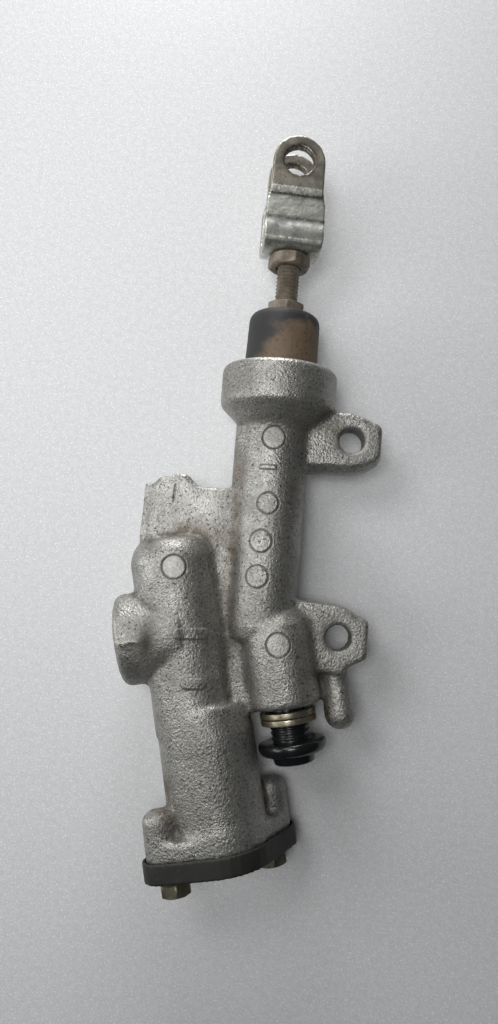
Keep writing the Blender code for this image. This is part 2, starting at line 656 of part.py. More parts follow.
def make_plug(plug_frame, materials):
    """Make the shipping plug in the outlet port and the two sealing washers on it."""
    rim = arc((6.9, 10.0), 1.55, -90, 90, 6)
    profile = [(0, -5.2), (4.3, -5.2), (4.9, -4.4), (4.9, 8.45)] + rim
    profile += [(5.6, 11.8), (5.1, 14.2), (0, 14.2)]
    plug = turned("port_plug", plug_frame, profile, segments=36)
    plug.data.materials.append(materials["gloss_black"])
    for name, low in (("sealing_washer_inner", 1.1), ("sealing_washer_outer", 2.75)):
        ring = [(5.25, low), (6.8, low), (7.0, low + 0.2), (7.0, low + 1.3)]
        ring += [(6.8, low + 1.5), (5.25, low + 1.5)]
        washer = turned(name, plug_frame, ring, segments=36)
        washer.data.materials.append(materials["brass"])


# ---------------------------------------------------------------- assembly

def make_materials():
    """Return the finishes by name."""
    table = {
        "cast": ((0.42, 0.41, 0.38), 0.55, 0.75),
        "anodised": ((0.55, 0.50, 0.36), 0.35, 0.9),
        "steel": ((0.50, 0.50, 0.49), 0.30, 1.0),
        "zinc": ((0.40, 0.41, 0.36), 0.45, 0.9),
        "zinc_tan": ((0.36, 0.29, 0.20), 0.55, 0.7),
        "zinc_olive": ((0.25, 0.23, 0.15), 0.45, 0.8),
        "brass": ((0.70, 0.62, 0.42), 0.30, 1.0),
        "rubber": ((0.030, 0.029, 0.028), 0.65, 0.0),
        "black_plastic": ((0.035, 0.036, 0.033), 0.45, 0.0),
        "gloss_black": ((0.010, 0.010, 0.011), 0.15, 0.0),
        "glass": ((0.75, 0.80, 0.80), 0.05, 0.0),
    }
    return {name: finish_material(name, *values) for name, values in table.items()}


def stand_on_origin(assembly):
    """Move the assembly so that its lowest point is at Z 0, over the middle of its footprint."""
    bpy.context.view_layer.update()
    graph = bpy.context.evaluated_depsgraph_get()
    low = Vector((math.inf,) * 3)
    high = -low
    for item in bpy.data.objects:
        if item.type != "MESH" or item.hide_render:
            continue
        shown = item.evaluated_get(graph)
        for vertex in shown.data.vertices:
            point = shown.matrix_world @ vertex.co
            low = Vector(map(min, low, point))
            high = Vector(map(max, high, point))
    middle = (low + high) / 2
    assembly.location -= Vector((middle.x, middle.y, low.z))


def build():
    """Build the whole master cylinder."""
    clear_scene()
    materials = make_materials()
    turn = PORT_ANGLE
    across = (math.cos(turn), math.sin(turn), 0)
    along = (math.sin(turn), -math.cos(turn), 0)
    outward = (-across[0], -across[1], 0)
    up = (0, 0, 1)

    assembly = add_frame("assembly", None, (0, 0, 0))
    bore = add_frame("bore_axis", assembly, (0, 0, 0), ((1, 0, 0), (0, 0, -1), (0, 1, 0)))
    port = add_frame("port_axis", assembly, (*PORT_FACE, 0), (across, up, along))
    sight_place = across_along(CHAMBER_ACROSS, SIGHT_ALONG)
    sight = add_frame("sight_axis", assembly, (*sight_place, 0), (along, up, outward))
    slide = add_frame("piston_slide", bore, (0, 0, 0))
    pivot = add_frame("rod_pivot", slide, (0, 0, BALL_CENTRE))
    spin = add_frame("rod_spin", pivot, (0, 0, 0))
    spin.rotation_euler = (0, 0, CLEVIS_TURN)
    plug_frame = add_frame("plug_slide", port, (0, 0, 0))

    make_casting(assembly, bore, port, sight, materials["cast"])
    make_fixed_bore_parts(bore, materials)
    make_piston_group(slide, materials)
    make_boot(pivot, materials)
    nut_hole = make_push_rod(spin, materials)
    make_clevis(spin, nut_hole, materials)
    make_cap(port, materials)
    make_sight_glass(sight, materials)
    make_plug(plug_frame, materials)
    stand_on_origin(assembly)


build()
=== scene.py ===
"""Looks of a motorcycle's rear brake master cylinder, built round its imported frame.

Every length in a class is in millimetres, and MM turns it into metres. Pieces are made in the frame's own
place: an Axis carries a piece from its own turning line to where it sits on the casting.
"""
from __future__ import annotations

import json
import logging
import math
from dataclasses import dataclass, field
from enum import Enum

import bmesh
import bpy
import numpy as np
from mathutils import Matrix, Vector, noise

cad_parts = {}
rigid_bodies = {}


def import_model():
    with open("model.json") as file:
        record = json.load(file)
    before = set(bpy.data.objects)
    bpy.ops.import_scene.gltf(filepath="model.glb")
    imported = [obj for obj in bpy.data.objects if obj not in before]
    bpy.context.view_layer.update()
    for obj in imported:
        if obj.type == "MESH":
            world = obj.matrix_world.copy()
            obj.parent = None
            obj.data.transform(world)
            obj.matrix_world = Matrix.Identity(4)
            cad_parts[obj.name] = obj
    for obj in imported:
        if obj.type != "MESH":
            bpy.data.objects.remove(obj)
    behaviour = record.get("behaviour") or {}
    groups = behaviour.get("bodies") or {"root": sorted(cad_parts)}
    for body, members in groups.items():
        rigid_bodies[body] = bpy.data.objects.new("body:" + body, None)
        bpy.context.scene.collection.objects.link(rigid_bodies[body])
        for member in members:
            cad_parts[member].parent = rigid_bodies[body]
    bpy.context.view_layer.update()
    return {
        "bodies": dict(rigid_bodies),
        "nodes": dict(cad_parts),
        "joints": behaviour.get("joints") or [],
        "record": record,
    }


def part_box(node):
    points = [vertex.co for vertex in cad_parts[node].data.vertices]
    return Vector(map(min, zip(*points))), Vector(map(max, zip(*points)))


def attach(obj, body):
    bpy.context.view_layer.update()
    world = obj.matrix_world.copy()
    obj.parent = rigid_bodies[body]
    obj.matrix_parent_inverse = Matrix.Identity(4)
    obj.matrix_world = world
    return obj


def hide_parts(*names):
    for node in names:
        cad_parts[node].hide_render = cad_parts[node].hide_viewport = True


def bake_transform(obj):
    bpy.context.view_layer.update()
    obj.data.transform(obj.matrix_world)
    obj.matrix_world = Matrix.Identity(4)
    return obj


LOG = logging.getLogger("master_cylinder")
MM = 0.001

Profile = list[tuple[float, float]]


# ---------------------------------------------------------------------------------------------- axes


@dataclass(frozen=True)
class Axis:
    """A line that pieces are turned about, with local X across it, Y up and Z along it."""

    origin: Vector
    across: Vector
    up: Vector
    along: Vector

    def matrix(self) -> Matrix:
        """Return the matrix from the axis's own coordinates to the frame's."""
        turn = Matrix((self.across, self.up, self.along)).transposed().to_4x4()
        return Matrix.Translation(self.origin) @ turn

    def point(self, across: float, up: float, along: float) -> Vector:
        """Return the frame position of a place given in millimetres along the three directions."""
        return self.matrix() @ (Vector((across, up, along)) * MM)

    def local(self, places: np.ndarray) -> np.ndarray:
        """Return frame positions as rows of across, up and along in millimetres."""
        turn = np.array(self.matrix().inverted())
        return (places @ turn[:3, :3].T + turn[:3, 3]) / MM

    def placed(self, local: np.ndarray) -> np.ndarray:
        """Return rows of across, up and along in millimetres as frame positions."""
        turn = np.array(self.matrix())
        return (local * MM) @ turn[:3, :3].T + turn[:3, 3]

    def moved(self, across: float, up: float, along: float) -> Axis:
        """Return a parallel axis whose origin is moved by millimetres."""
        return Axis(self.point(across, up, along), self.across, self.up, self.along)

    def turned(self, degrees: float) -> Axis:
        """Return the same line with its local X and Y turned about it."""
        turn = Matrix.Rotation(math.radians(degrees), 3, self.along)
        return Axis(self.origin, turn @ self.across, turn @ self.up, self.along)


class Layout:
    """Where the cylinder's lines lie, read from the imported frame."""

    PLATE_STATION: float = 32.8
    WASHER_STATION: float = 1.85
    CLEVIS_TURN: float = 6.5

    def __init__(self, frame: dict) -> None:
        """Read the lines.
        """
        mounts = {mount["name"]: mount for mount in frame["record"]["mounts"]}
        joints = {joint["name"]: joint for joint in frame["joints"]}
        up = Vector((0, 0, 1))
        low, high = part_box("stopper_washer")
        centre = (low + high) / 2
        lug_y = (mounts["upper_lug_face"]["pos_m"][1] + mounts["lower_lug_face"]["pos_m"][1]) / 2
        origin = Vector((centre.x, lug_y, centre.z))
        self.bore = Axis(origin, Vector((1, 0, 0)), Vector((0, 0, -1)), Vector((0, 1, 0)))
        self.rod = self.bore.turned(self.CLEVIS_TURN)
        self.top = Axis(origin, Vector((1, 0, 0)), Vector((0, 1, 0)), up)

        along = Vector(joints["plug_pull"]["axis"]).normalized()
        across = Vector((-along.y, along.x, 0))
        low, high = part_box("sealing_washer_inner")
        port = (low + high) / 2 - along * self.WASHER_STATION * MM
        self.port = Axis(port, across, up, along)
        low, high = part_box("diaphragm_plate")
        bowl = (low + high) / 2 - along * self.PLATE_STATION * MM
        self.bowl = Axis(bowl, across, up, along)
        low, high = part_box("sight_glass_ring")
        sight = (low + high) / 2
        self.sight = Axis(sight, along, up, -across)


# ---------------------------------------------------------------------------------------------- mesh


@dataclass
class Row:
    """One ring of a turned body: its radius, or one radius for each step round, and its height."""

    radius: float | np.ndarray
    height: float | np.ndarray


def rounded(corners: list[tuple[float, float, float]], steps: int = 5) -> Profile:
    """Round the corners of a profile.

    Args:
        corners: Radius, height and rounding length of each corner.
        steps: How many stretches each rounded corner gets.

    Returns:
        The profile with a smooth curve at each corner that has a rounding length.
    """
    points: Profile = []
    for index, (radius, height, size) in enumerate(corners):
        here = Vector((radius, height))
        if size <= 0 or index in (0, len(corners) - 1):
            points.append((radius, height))
            continue
        before = (Vector(corners[index - 1][:2]) - here).normalized() * size
        after = (Vector(corners[index + 1][:2]) - here).normalized() * size
        for step in range(steps + 1):
            share = step / steps
            bend = here + before * (1 - share) ** 2 + after * share**2
            points.append((bend.x, bend.y))
    return points


def rows_of(profile: Profile) -> list[Row]:
    """Return plain rings for the points of a profile."""
    return [Row(radius, height) for radius, height in profile]


def add_rows(work: bmesh.types.BMesh, rows: list[Row], segments: int, closed: bool = False) -> None:
    """Add a body made of rings to a mesh.

    Args:
        work: The mesh to add to, in millimetres.
        rows: The rings in order. A ring of radius 0 becomes one point.
        segments: How many steps each ring has.
        closed: Whether the last ring joins the first, as in a washer.
    """
    angles = np.arange(segments) * 2 * math.pi / segments
    rings = []
    for row in rows:
        radii = np.broadcast_to(row.radius, segments)
        heights = np.broadcast_to(row.height, segments)
        if float(np.max(radii)) == 0:
            rings.append([work.verts.new((0, 0, float(heights[0])))])
            continue
        places = zip(radii * np.cos(angles), radii * np.sin(angles), heights)
        rings.append([work.verts.new([float(value) for value in place]) for place in places])
    pairs = list(zip(rings, rings[1:]))
    if closed:
        pairs.append((rings[-1], rings[0]))
    for lower, upper in pairs:
        for step in range(segments):
            after = (step + 1) % segments
            corners = [lower[step % len(lower)], lower[after % len(lower)]]
            corners += [upper[after % len(upper)], upper[step % len(upper)]]
            distinct = list(dict.fromkeys(corners))
            if len(distinct) > 2:
                work.faces.new(distinct)


def hexagon_radii(flats: float, segments: int, turn: float = 0.0) -> np.ndarray:
    """Return the radius of a hexagon at each step round, with its corners a little blunted.

    Args:
        flats: Width across flats.
        segments: How many steps round.
        turn: Angle of the first corner, in degrees.

    Returns:
        One radius for each step.
    """
    sixth = math.pi / 3
    angles = np.arange(segments) * 2 * math.pi / segments - math.radians(turn)
    off_flat = np.mod(angles, sixth) - sixth / 2
    radii = flats / 2 / np.cos(off_flat)
    return np.minimum(radii, flats / math.sqrt(3) * 0.985)


def hexagon_rows(flats: float, low: float, high: float, segments: int, turn: float) -> list[Row]:
    """Return the rings of a hexagon whose corners are turned off at both ends."""
    corner = hexagon_radii(flats, segments, turn)
    face = flats / 2 * 0.95
    depth = (flats / math.sqrt(3) - face) / math.sqrt(3)
    shares = (0.0, 0.12, 0.3, 0.5, 0.75, 1.0)
    rows = [Row(np.minimum(corner, face + depth * s * math.sqrt(3)), low + depth * s) for s in shares]
    rows += [Row(np.minimum(corner, face + depth * s * math.sqrt(3)), high - depth * s) for s in shares[::-1]]
    return rows


def piece(name: str, work: bmesh.types.BMesh, axis: Axis, sharp: float = 32.0) -> bpy.types.Object:
    """Turn a mesh in an axis's own millimetres into an object placed in its mesh.

    Args:
        name: The object's name.
        work: The mesh, which is freed.
        axis: Where the mesh goes.
        sharp: Edges turned by more than this many degrees stay sharp.

    Returns:
        The object, at the origin and unturned.
    """
    bmesh.ops.recalc_face_normals(work, faces=work.faces)
    mesh = bpy.data.meshes.new(name)
    work.to_mesh(mesh)
    work.free()
    mesh.transform(axis.matrix() @ Matrix.Scale(MM, 4))
    return show(name, mesh, sharp)


def turned_piece(
    name: str, corners: list[tuple[float, float, float]], segments: int, axis: Axis, closed: bool = False,
    sharp: float = 32.0,
) -> bpy.types.Object:
    """Turn one rounded profile about an axis.

    Args:
        name: The object's name.
        corners: Radius, height and rounding length of each corner.
        segments: How many steps round.
        axis: Where it goes.
        closed: Whether the profile is a closed ring.
        sharp: Edges turned by more than this many degrees stay sharp.

    Returns:
        The object, at the origin and unturned.
    """
    work = bmesh.new()
    add_rows(work, rows_of(rounded(corners)), segments, closed)
    return piece(name, work, axis, sharp)


def show(name: str, mesh: bpy.types.Mesh, sharp: float = 32.0) -> bpy.types.Object:
    """Link a finished mesh as an object with smooth shading and sharp edges kept."""
    mesh.shade_smooth()
    mesh.set_sharp_from_angle(angle=math.radians(sharp))
    item = bpy.data.objects.new(name, mesh)
    bpy.context.scene.collection.objects.link(item)
    return item


def merged_copy(node: bpy.types.Object, name: str) -> bpy.types.Object:
    """Return a copy of a frame node whose loose triangles are joined."""
    work = bmesh.new()
    work.from_mesh(node.data)
    bmesh.ops.remove_doubles(work, verts=work.verts, dist=1e-6)
    mesh = bpy.data.meshes.new(name)
    work.to_mesh(mesh)
    work.free()
    item = bpy.data.objects.new(name, mesh)
    bpy.context.scene.collection.objects.link(item)
    return item


def baked(item: bpy.types.Object) -> bpy.types.Mesh:
    """Return a plain mesh of an object with its modifiers applied, and remove the object."""
    graph = bpy.context.evaluated_depsgraph_get()
    graph.update()
    mesh = bpy.data.meshes.new_from_object(item.evaluated_get(graph))
    bpy.data.objects.remove(item)
    return mesh


def softened(node: bpy.types.Object, name: str, voxel: float, passes: int) -> bpy.types.Mesh:
    """Remesh a copy of a frame node evenly and smooth it, so that its edges and corners turn round.

    Args:
        node: The frame's node.
        name: Name of the working copy.
        voxel: Size of the even mesh, in millimetres.
        passes: How often the mesh is smoothed.

    Returns:
        The smoothed mesh, in the frame's place.
    """
    item = merged_copy(node, name)
    remesh = item.modifiers.new("even", "REMESH")
    remesh.mode = "VOXEL"
    remesh.voxel_size = voxel * MM
    smooth = item.modifiers.new("soft", "SMOOTH")
    smooth.factor = 0.5
    smooth.iterations = passes
    return baked(item)


def positions(mesh: bpy.types.Mesh) -> np.ndarray:
    """Return a mesh's vertex positions as rows of three numbers."""
    flat = np.empty(len(mesh.vertices) * 3)
    mesh.vertices.foreach_get("co", flat)
    return flat.reshape(-1, 3)


def set_positions(mesh: bpy.types.Mesh, places: np.ndarray) -> None:
    """Write vertex positions back to a mesh."""
    mesh.vertices.foreach_set("co", places.ravel())
    mesh.update()


def normals(mesh: bpy.types.Mesh) -> np.ndarray:
    """Return a mesh's vertex normals."""
    flat = np.empty(len(mesh.vertices) * 3, np.float32)
    mesh.vertex_normals.foreach_get("vector", flat)
    return flat.reshape(-1, 3).astype(float)


def store(mesh: bpy.types.Mesh, **attributes: np.ndarray) -> None:
    """Store a number for each vertex under each given name."""
    for name, values in attributes.items():
        mesh.attributes.new(name, "FLOAT", "POINT").data.foreach_set("value", values.astype(np.float32))


def add_hollow_attribute(mesh: bpy.types.Mesh, passes: int) -> None:
    """Store how deep each vertex lies in a hollow, in millimetres, as the attribute "hollow".

    Args:
        mesh: The mesh to measure. Crests get negative values.
        passes: How often the comparison surface is smoothed, which sets the size of hollow it finds.
    """
    edges = np.empty(len(mesh.edges) * 2, int)
    mesh.edges.foreach_get("vertices", edges)
    first, second = edges.reshape(-1, 2).T
    count = len(mesh.vertices)
    degree = np.maximum(np.bincount(first, minlength=count) + np.bincount(second, minlength=count), 1)
    places = positions(mesh)
    calm = places.copy()
    for _ in range(passes):
        total = np.empty_like(calm)
        for side in range(3):
            total[:, side] = np.bincount(first, calm[second, side], count)
            total[:, side] += np.bincount(second, calm[first, side], count)
        calm = (calm + total / degree[:, None]) / 2
    depth = np.einsum("ij,ij->i", calm - places, normals(mesh)) / MM
    store(mesh, hollow=depth)


# ---------------------------------------------------------------------------------------------- node graphs


class Graph:
    """A short way to add and join nodes in a tree."""

    def __init__(self, tree: bpy.types.NodeTree) -> None:
        """Keep the tree that nodes are added to."""
        self.tree = tree

    def add(self, kind: str, inputs: dict | None = None, **settings: object) -> bpy.types.Node:
        """Add a node.

        Args:
            kind: The node's type name.
            inputs: Sockets to link or values to set, by input name or number.
            settings: Properties of the node itself.

        Returns:
            The new node.
        """
        node = self.tree.nodes.new(kind)
        for name, value in settings.items():
            setattr(node, name, value)
        for name, value in (inputs or {}).items():
            if isinstance(value, bpy.types.NodeSocket):
                self.tree.links.new(value, node.inputs[name])
            else:
                node.inputs[name].default_value = value
        return node

    def math(self, operation: str, first: object, second: object = 0.0, clamp: bool = False) -> bpy.types.NodeSocket:
        """Add a Math node and return its output."""
        return self.add("ShaderNodeMath", {0: first, 1: second}, operation=operation, use_clamp=clamp).outputs[0]

    def times(self, first: object, second: object, clamp: bool = False) -> bpy.types.NodeSocket:
        """Return a product."""
        return self.math("MULTIPLY", first, second, clamp)

    def plus(self, first: object, second: object, clamp: bool = False) -> bpy.types.NodeSocket:
        """Return a sum."""
        return self.math("ADD", first, second, clamp)

    def attribute(self, name: str) -> bpy.types.NodeSocket:
        """Return a vertex attribute's value."""
        return self.add("ShaderNodeAttribute", attribute_name=name).outputs["Fac"]

    def feed(self, value: bpy.types.NodeSocket, node: bpy.types.Node, name: str) -> None:
        """Link a value to a node's input."""
        self.tree.links.new(value, node.inputs[name])

    def ramp(self, value: object, low: float, high: float) -> bpy.types.NodeSocket:
        """Return a smooth step from 0 at low to 1 at high."""
        inputs = {"Value": value, "From Min": low, "From Max": high}
        return self.add("ShaderNodeMapRange", inputs, interpolation_type="SMOOTHSTEP").outputs["Result"]

    def noise(self, vector: object, scale: object, detail: float = 2.0, rough: float = 0.5) -> bpy.types.NodeSocket:
        """Return an even noise from 0 to 1."""
        inputs = {"Vector": vector, "Scale": scale, "Detail": detail, "Roughness": rough}
        return self.add("ShaderNodeTexNoise", inputs).outputs[0]

    def mix(self, share: object, first: object, second: object) -> bpy.types.NodeSocket:
        """Return a colour between two colours."""
        node = self.add("ShaderNodeMix", data_type="RGBA")
        sockets = [node.inputs[0], node.inputs[6], node.inputs[7]]
        for socket, value in zip(sockets, (share, first, second)):
            if isinstance(value, bpy.types.NodeSocket):
                self.tree.links.new(value, socket)
            elif isinstance(value, tuple):
                socket.default_value = (*value, 1.0)
            else:
                socket.default_value = value
        return node.outputs[2]


def new_group(name: str, kind: str, inputs: list[tuple], outputs: list[tuple]) -> tuple:
    """Make a node group with named sockets.

    Args:
        name: The group's name.
        kind: Its tree type.
        inputs: Name, socket type and default value (or None) of each input.
        outputs: Name and socket type of each output.

    Returns:
        The group, its graph helper, its input node and its output node.
    """
    group = bpy.data.node_groups.new(name, kind)
    for label, socket, value in inputs:
        made = group.interface.new_socket(name=label, in_out="INPUT", socket_type=socket)
        if value is not None:
            made.default_value = value
    for label, socket in outputs:
        group.interface.new_socket(name=label, in_out="OUTPUT", socket_type=socket)
    graph = Graph(group)
    return group, graph, graph.add("NodeGroupInput"), graph.add("NodeGroupOutput")


class SharedEffects:
    """The shader node groups that several finishes use."""

    def __init__(self) -> None:
        """Build each group once."""
        self.grain = self._grain()
        self.grime = self._grime()
        self.patches = self._patches()

    @staticmethod
    def _grain() -> bpy.types.NodeTree:
        """Lumpy cast grain: a height, a mask of its dark pits and a mask of the grains that get painted glints."""
        inputs = [("Vector", "NodeSocketVector", None), ("Scale", "NodeSocketFloat", 1400.0)]
        outputs = [("Height", "NodeSocketFloat"), ("Pits", "NodeSocketFloat"), ("Glints", "NodeSocketFloat")]
        group, graph, start, end = new_group("lumpy grain", "ShaderNodeTree", inputs, outputs)
        vector, scale = start.outputs["Vector"], start.outputs["Scale"]
        warp = graph.noise(vector, graph.times(scale, 0.35), 1.0)
        lumps = graph.add("ShaderNodeTexVoronoi", {"Vector": vector, "Scale": scale}, feature="SMOOTH_F1")
        fine = graph.noise(vector, graph.times(scale, 1.1), 2.0, 0.6)
        height = graph.times(lumps.outputs["Distance"], -0.7)
        height = graph.plus(height, fine)
        height = graph.plus(height, graph.times(warp, 0.6))
        pits = graph.noise(vector, graph.times(scale, 0.7), 2.0, 0.75)
        graph.feed(height, end, "Height")
        graph.feed(graph.ramp(pits, 0.57, 0.66), end, "Pits")
        # Mask for the painted glints on the grains.
        glints = graph.noise(vector, graph.times(scale, 0.9), 2.0, 0.7)
        graph.feed(graph.ramp(glints, 0.54, 0.66), end, "Glints")
        return group

    @staticmethod
    def _grime() -> bpy.types.NodeTree:
        """Dirt and painted shade where a surface is hollow, broken up by noise."""
        inputs = [
            ("Vector", "NodeSocketVector", None),
            ("Hollow", "NodeSocketFloat", 0.0),
            ("Scale", "NodeSocketFloat", 300.0),
            ("Least", "NodeSocketFloat", 0.05),
            ("Most", "NodeSocketFloat", 0.3),
        ]
        outputs = [("Mask", "NodeSocketFloat")]
        group, graph, start, end = new_group("grime", "ShaderNodeTree", inputs, outputs)
        broken = graph.noise(start.outputs["Vector"], start.outputs["Scale"], 4.0, 0.65)
        span = {
            "Value": start.outputs["Hollow"],
            "From Min": start.outputs["Least"],
            "From Max": start.outputs["Most"],
        }
        depth = graph.add("ShaderNodeMapRange", span).outputs["Result"]
        mask = graph.times(depth, graph.ramp(broken, 0.35, 0.62), clamp=True)
        graph.feed(mask, end, "Mask")
        return group

    @staticmethod
    def _patches() -> bpy.types.NodeTree:
        """Cloudy patches of tarnish, and the fine streaks and dents that go with them."""
        inputs = [("Vector", "NodeSocketVector", None), ("Scale", "NodeSocketFloat", 160.0)]
        outputs = [("Cloud", "NodeSocketFloat"), ("Spots", "NodeSocketFloat"), ("Height", "NodeSocketFloat")]
        group, graph, start, end = new_group("tarnish patches", "ShaderNodeTree", inputs, outputs)
        vector, scale = start.outputs["Vector"], start.outputs["Scale"]
        cloud = graph.noise(vector, scale, 5.0, 0.62)
        spots = graph.noise(vector, graph.times(scale, 6.0), 3.0, 0.7)
        dents = graph.noise(vector, graph.times(scale, 3.2), 4.0, 0.55)
        graph.feed(graph.ramp(cloud, 0.38, 0.62), end, "Cloud")
        graph.feed(graph.ramp(spots, 0.58, 0.68), end, "Spots")
        graph.feed(dents, end, "Height")
        return group


# ---------------------------------------------------------------------------------------------- finishes

Colour = tuple[float, float, float]


class Finish:
    """Base of the finishes: starts a material whose patterns read Object coordinates."""

    name: str
    shared: SharedEffects

    def start(self) -> tuple[bpy.types.Material, Graph, bpy.types.Node, bpy.types.NodeSocket]:
        """Return a new material, its graph, its Principled node and its Object coordinates."""
        material = bpy.data.materials.new(self.name)
        material.use_nodes = True
        graph = Graph(material.node_tree)
        shader = material.node_tree.nodes["Principled BSDF"]
        place = graph.add("ShaderNodeTexCoord").outputs["Object"]
        return material, graph, shader, place

    @staticmethod
    def group(graph: Graph, tree: bpy.types.NodeTree, inputs: dict) -> bpy.types.Node:
        """Place a shared node group with its own values."""
        node = graph.add("ShaderNodeGroup", node_tree=tree)
        for name, value in inputs.items():
            if isinstance(value, bpy.types.NodeSocket):
                graph.tree.links.new(value, node.inputs[name])
            else:
                node.inputs[name].default_value = value
        return node

    @staticmethod
    def bump(graph: Graph, shader: bpy.types.Node, height: object, strength: float, distance: float) -> None:
        """Feed a height in millimetres of depth into the shader's normal."""
        inputs = {"Height": height, "Strength": strength, "Distance": distance * MM}
        graph.feed(graph.add("ShaderNodeBump", inputs).outputs["Normal"], shader, "Normal")


@dataclass(frozen=True)
class CastFinish(Finish):
    """Weathered die-cast aluminium: pebbled skin with painted glints, dark pits, brown dirt and brown painted shade,
    crests brightened by wear, patches of painted light, and dark dirt with painted shade in hollows, grooves and
    crevices.
    """

    shared: SharedEffects
    name: str = "cast_aluminium"
    skin: Colour = (0.325, 0.32, 0.298)
    shade: Colour = (0.245, 0.24, 0.222)
    # Bright colour for patches of painted light, painted glints and crests brightened by wear.
    bright: Colour = (0.60, 0.595, 0.56)
    # Dark colour for dirt and painted shade in hollows, grooves and crevices.
    dirt: Colour = (0.060, 0.050, 0.038)
    # Brown colour for dirt, also used as brown painted shade.
    stain: Colour = (0.115, 0.078, 0.042)
    speck: Colour = (0.045, 0.042, 0.036)
    grain_scale: float = 1900.0
    grain_depth: float = 0.14

    def make(self) -> bpy.types.Material:
        """Return the material."""
        material, graph, shader, place = self.start()
        hollow = graph.attribute("hollow")
        # Dark lines in the marks' grooves and dark spots: painted shade in grooves, crevices and holes, and dirt.
        soil = graph.attribute("soil")
        brown = graph.attribute("stain")
        flat = graph.attribute("smooth")
        grain = self.group(graph, self.shared.grain, {"Vector": place, "Scale": self.grain_scale})
        cloud = graph.ramp(graph.noise(place, 110.0, 5.0, 0.6), 0.36, 0.64)
        colour = graph.mix(cloud, self.skin, self.shade)
        # Painted light: the patches in the pale attribute are mixed towards the bright colour.
        pale = graph.attribute("pale")
        # Painted shade: the smooth discs are mixed towards the shade colour, which damps their reflection of the
        # lamps.
        colour = graph.mix(graph.times(flat, 0.45), colour, self.shade)
        colour = graph.mix(graph.times(pale, 0.5), colour, self.bright)
        bare = graph.math("SUBTRACT", 1.0, graph.times(flat, 0.6))
        # Painted glints: random grains of the skin are mixed towards the bright colour in place of specular glints.
        lit = graph.times(grain.outputs["Glints"], bare)
        colour = graph.mix(graph.times(lit, 0.42), colour, self.bright)
        crest = graph.ramp(graph.times(hollow, -1.0), 0.04, 0.2)
        worn = graph.times(crest, graph.ramp(graph.noise(place, 700.0, 3.0), 0.4, 0.6))
        colour = graph.mix(graph.times(worn, 0.16), colour, self.bright)
        settings = {"Vector": place, "Hollow": hollow, "Scale": 260.0, "Least": 0.02, "Most": 0.22}
        # Darker in the hollows: dirt and painted shade.
        grime = self.group(graph, self.shared.grime, settings).outputs["Mask"]
        grime = graph.math("MAXIMUM", graph.times(grime, 0.8), soil)
        colour = graph.mix(grime, colour, self.dirt)
        # Brown patches: dirt, and brown painted shade by the reservoir's right side and between the port boss and the
        # hose stop.
        broken = graph.ramp(graph.noise(place, 420.0, 4.0, 0.65), 0.3, 0.62)
        tinted = graph.times(brown, graph.plus(graph.times(broken, 0.8), 0.35), True)
        colour = graph.mix(tinted, colour, self.stain)
        pits = graph.times(grain.outputs["Pits"], graph.times(bare, 0.75))
        colour = graph.mix(pits, colour, self.speck)
        graph.feed(colour, shader, "Base Color")
        dull = graph.plus(graph.times(cloud, 0.10), graph.times(grime, 0.3))
        graph.feed(graph.plus(dull, 0.41), shader, "Roughness")
        metal = graph.math("SUBTRACT", 0.75, graph.times(grime, 0.6), clamp=True)
        graph.feed(metal, shader, "Metallic")
        keep = graph.math("SUBTRACT", 1.0, graph.times(flat, 0.65))
        self.bump(graph, shader, graph.times(grain.outputs["Height"], keep), 1.0, self.grain_depth)
        return material


@dataclass(frozen=True)
class PlatedFinish(Finish):
    """Plated steel that has gone dull: cloudy tarnish, spots, dirt and painted shade in the hollows, and on the
    clevis a painted highlight along its bend and painted shade at its step, eyes and under its bend.
    """

    shared: SharedEffects
    name: str
    plate: Colour
    tarnish: Colour
    spot: Colour
    rough: float = 0.38
    patch_scale: float = 160.0
    dents: float = 0.08
    dirty: float = 0.7
    metal: float = 0.9

    def make(self) -> bpy.types.Material:
        """Return the material."""
        material, graph, shader, place = self.start()
        hollow = graph.attribute("hollow")
        patches = self.group(graph, self.shared.patches, {"Vector": place, "Scale": self.patch_scale})
        colour = graph.mix(patches.outputs["Cloud"], self.plate, self.tarnish)
        # Painted highlight: a band on the clevis's bend is mixed towards a brighter plate colour where a lamp's
        # reflection falls.
        worn = graph.attribute("worn")
        colour = graph.mix(worn, colour, tuple(min(1.0, value * 1.7) for value in self.plate))
        brown = graph.attribute("brown")
        colour = graph.mix(graph.times(brown, 0.75), colour, (0.42, 0.36, 0.265))
        # Painted shade: the clevis's step, eye rims and the underside of its bend are mixed towards the dark spot
        # colour.
        soot = graph.attribute("soot")
        broken = graph.ramp(graph.noise(place, 900.0, 4.0, 0.7), 0.38, 0.56)
        soot = graph.times(soot, graph.plus(graph.times(broken, 0.7), 0.35), True)
        colour = graph.mix(soot, colour, self.spot)
        colour = graph.mix(graph.times(patches.outputs["Spots"], self.dirty), colour, self.spot)
        settings = {"Vector": place, "Hollow": hollow, "Scale": 420.0, "Least": 0.02, "Most": 0.15}
        # Darker in the hollows: dirt and painted shade.
        grime = self.group(graph, self.shared.grime, settings).outputs["Mask"]
        colour = graph.mix(graph.times(grime, self.dirty), colour, self.spot)
        graph.feed(colour, shader, "Base Color")
        dull = graph.plus(patches.outputs["Cloud"], patches.outputs["Spots"])
        graph.feed(graph.plus(graph.times(dull, 0.16), self.rough), shader, "Roughness")
        metal = graph.math("SUBTRACT", self.metal, graph.times(patches.outputs["Spots"], 0.4), True)
        graph.feed(metal, shader, "Metallic")
        self.bump(graph, shader, patches.outputs["Height"], 0.6, self.dents)
        return material


